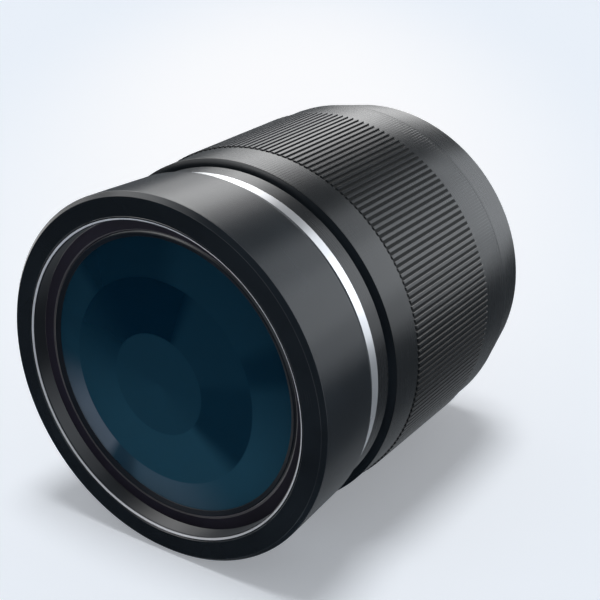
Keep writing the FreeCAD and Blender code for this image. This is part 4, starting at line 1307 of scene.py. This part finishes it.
@dataclass
class RearGlass:
    """The rear element, which is flat in front and domed behind."""

    radius: float = 26.0
    front: float = 50.0
    rear: float = 57.0
    curve: float = 80.0
    rows: int = 40
    columns: int = 192

    def build(self, workshop: Workshop) -> None:
        """Makes the glass, whose rear is a sphere of the radius curve.

        Args:
            workshop: Where the piece is made.
        """
        radii = np.linspace(self.radius - 0.3, 0, self.rows)
        depths = self.rear - self.curve + np.sqrt(self.curve ** 2 - radii ** 2)
        glass = turn(rounded_section([
            Corner(0, self.front), Corner(self.radius, self.front, 0.2),
            Corner(self.radius, float(depths[0]) - 0.2, 0.1), *curve(radii, depths),
        ], closed=False), even_turn(self.columns))
        workshop.piece("rear_glass", glass, REAR_GLASS, Body.HEAD, "sixth_element")


@dataclass(frozen=True)
class Strip:
    """A long light beside the lens, parallel to its axis, which only reflections show.

    It hangs at an angle round the axis and covers half_angle to either side, both in degrees as
    seen from the axis. Its front end is at y = front, in metres.
    """

    name: str
    angle: float
    half_angle: float
    radiance: float
    colour: Colour = (1.0, 1.0, 1.0)
    front: float = -1.0
    length: float = 5.0


PALE_BLUE = (0.92, 0.96, 1.0)
STRIPS = (
    Strip("left_strip_core", 133.0, 13.0, 1.9),
    Strip("left_strip_edge", 135.5, 29.5, 1.2),
    Strip("left_low_box", 184.0, 26.0, 1.2, front=-0.05, length=0.35),
    Strip("right_strip_core", 30.0, 19.0, 0.95, PALE_BLUE, front=0.0),
    Strip("right_strip_edge", 31.0, 40.0, 1.0, PALE_BLUE, front=0.0),
    Strip("right_strip_rear", 30.0, 49.0, 1.10, PALE_BLUE, front=1.05),
    Strip("low_strip", -93.0, 24.0, 0.12, PALE_BLUE, front=0.2),
)


@dataclass
class Studio:
    """The pale floor with its painted pool of light, the lamps and the camera, in metres."""

    floor_gap: float = 0.0002
    floor_reach: float = 4.0
    # The floor glows evenly by floor_glow, which lightens the shadow under the lens.
    floor_glow: float = 0.30
    floor_white: Colour = (0.955, 0.962, 0.985)
    floor_blue: Colour = (0.815, 0.870, 0.945)
    # The pool is painted light on the floor's colour, white behind the lens and pale blue away from it.
    pool_start: float = -0.04
    pool_heading: tuple[float, float] = (0.56, 0.83)
    pool_middle: float = 0.25
    pool_half_width: float = 0.15
    pool_half_length: float = 0.42
    pool_edge: tuple[float, float] = (0.2, 0.95)
    fill: float = 0.24
    fill_colour: Colour = (0.99, 0.995, 1.0)
    glow: float = 0.12
    glow_colour: Colour = (0.80, 0.90, 1.0)
    glow_ends: tuple[float, float] = (-0.1, 0.6)
    overhead: float = 0.46
    overhead_spread: float = 21.0
    strip_distance: float = 0.6
    lens: float = 78.0
    sensor: float = 36.0
    camera_place: tuple[float, float, float] = (0.1368, -0.2350, 0.1090)
    camera_forward: tuple[float, float, float] = (-0.5114, 0.7562, -0.4084)

    def floor_colour(self, shader: Shader) -> Wire:
        """Gives the floor's colour, a painted pool of light: white in an oval pool behind the lens, and pale
        blue far from it.

        Args:
            shader: The floor's tree.

        Returns:
            The colour.
        """
        x, y, _ = shader.position()
        aside, ahead = self.pool_heading
        back = y - self.pool_start
        along = (back * ahead - x * aside - self.pool_middle) / self.pool_half_length
        across = (x * ahead + back * aside) / self.pool_half_width
        away = (across * across + along * along).root()
        return shader.mix(away.ease(*self.pool_edge), self.floor_white, self.floor_blue)

    def floor(self) -> None:
        """Lays the floor just under the lens."""
        reach, level = self.floor_reach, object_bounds()[0][2] - self.floor_gap
        corners = np.array([[-reach, -reach, level], [reach, -reach, level], [reach, reach, level],
                            [-reach, reach, level]])
        surface = Surface(corners, np.array([[0, 1, 2, 3]]), NO_TRIANGLES, None, np.zeros(4))
        ground = bpy.data.objects.new("studio_floor", to_mesh("studio_floor", surface))
        shader = Shader(bpy.data.materials.new("floor_pale"))
        colour = self.floor_colour(shader)
        # The floor's colour carries the painted pool, and the floor glows in that colour to lighten the
        # lens's shadow.
        ground.data.materials.append(shader.finish(
            Base_Color=colour, Roughness=0.9, Specular_IOR_Level=0.0, Emission_Color=colour,
            Emission_Strength=self.floor_glow))
        bpy.context.scene.collection.objects.link(ground)
        ground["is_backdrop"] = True

    def sky(self) -> None:
        """Fills the shadows with pale light, and keeps reflections of the empty studio dark."""
        world = bpy.data.worlds.new("studio_air")
        air = Shader(world)
        place = air.node("ShaderNodeTexCoord").of("Generated")
        toward_rear = air.node("ShaderNodeSeparateXYZ", inputs={0: place}).of("Y")
        glow = toward_rear.ease(*self.glow_ends) * self.glow
        pale = air.node("ShaderNodeBackground", inputs={
            "Color": opaque(self.fill_colour), "Strength": self.fill})
        dark = air.node("ShaderNodeBackground", inputs={
            "Color": opaque(self.glow_colour), "Strength": glow})
        rays = air.node("ShaderNodeLightPath").of("Is Glossy Ray")
        mixed = air.node("ShaderNodeMixShader", inputs={0: rays, 1: pale, 2: dark})
        air.node("ShaderNodeOutputWorld", inputs={"Surface": mixed})
        bpy.context.scene.world = world

    def strip(self, strip: Strip) -> None:
        """Hangs a strip light, with its face towards the axis.

        Args:
            strip: The light's sizes.
        """
        data = bpy.data.lights.new(strip.name, "AREA")
        data.shape = "RECTANGLE"
        data.size = 2 * self.strip_distance * math.tan(math.radians(strip.half_angle))
        data.size_y = strip.length
        data.energy = strip.radiance * data.size * data.size_y * math.pi
        data.color = strip.colour
        data.use_shadow = False
        away, ahead = outward(strip.angle), Vector((0, 1, 0))
        lamp = bpy.data.objects.new(strip.name, data)
        axes = Matrix((ahead.cross(away), ahead, away)).transposed().to_4x4()
        middle = away * self.strip_distance + ahead * (strip.front + strip.length / 2)
        lamp.matrix_world = Matrix.Translation(middle) @ axes
        self.hang(lamp, in_reflections=True)

    @staticmethod
    def hang(lamp: bpy.types.Object, in_reflections: bool) -> None:
        """Adds a lamp, out of the camera's sight.

        Args:
            lamp: The lamp.
            in_reflections: True if only reflections show it, False if it only lights matt surfaces.
        """
        lamp.visible_camera = False
        lamp.visible_glossy = in_reflections
        lamp.visible_diffuse = not in_reflections
        bpy.context.scene.collection.objects.link(lamp)

    def lamps(self) -> None:
        """Hangs the overhead light and the strips beside the barrel."""
        sun = bpy.data.lights.new("overhead", "SUN")
        sun.energy = self.overhead * math.pi
        sun.angle = math.radians(self.overhead_spread)
        self.hang(bpy.data.objects.new("overhead", sun), in_reflections=False)
        for strip in STRIPS:
            self.strip(strip)

    def camera(self) -> None:
        """Puts the camera where the photograph was taken from."""
        data = bpy.data.cameras.new("photo_camera")
        data.lens = self.lens
        data.sensor_width = self.sensor
        data.clip_start = 0.01
        camera = bpy.data.objects.new("photo_camera", data)
        camera.location = self.camera_place
        camera.rotation_euler = Vector(self.camera_forward).to_track_quat("-Z", "Y").to_euler()
        bpy.context.scene.collection.objects.link(camera)
        bpy.context.scene.camera = camera

    def build(self) -> None:
        """Sets the studio up, and keeps the lens and the floor out of one another's reflections."""
        bpy.context.scene.view_settings.view_transform = "Standard"
        self.camera()
        self.floor()
        self.sky()
        self.lamps()
        for thing in bpy.data.objects:
            if thing.type == "MESH":
                thing.visible_glossy = False


def dress_inner_nodes(workshop: Workshop) -> None:
    """Gives every node of the frame the finish of its own slot.

    Args:
        workshop: Where the materials are made.
    """
    for name, node in frame["nodes"].items():
        for holder in node.material_slots:
            slot = Slot(holder.material.name.split(".")[0])
            holder.material = workshop.material(SLOT_FINISHES[slot])
            log.info("%s: finished as %s", name, slot.value)


def main() -> None:
    """Builds the lens from front to rear, and then the studio."""
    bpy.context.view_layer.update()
    workshop = Workshop()
    dress_inner_nodes(workshop)
    for assembly in (IrisRing(), FilterSeat(), FrontGlass(), SleeveTrim(), FocusRing(), RearBarrel(),
                     CameraMount(), RearGlass()):
        assembly.build(workshop)
    Studio().build()


if __name__ == "__main__":
    main()
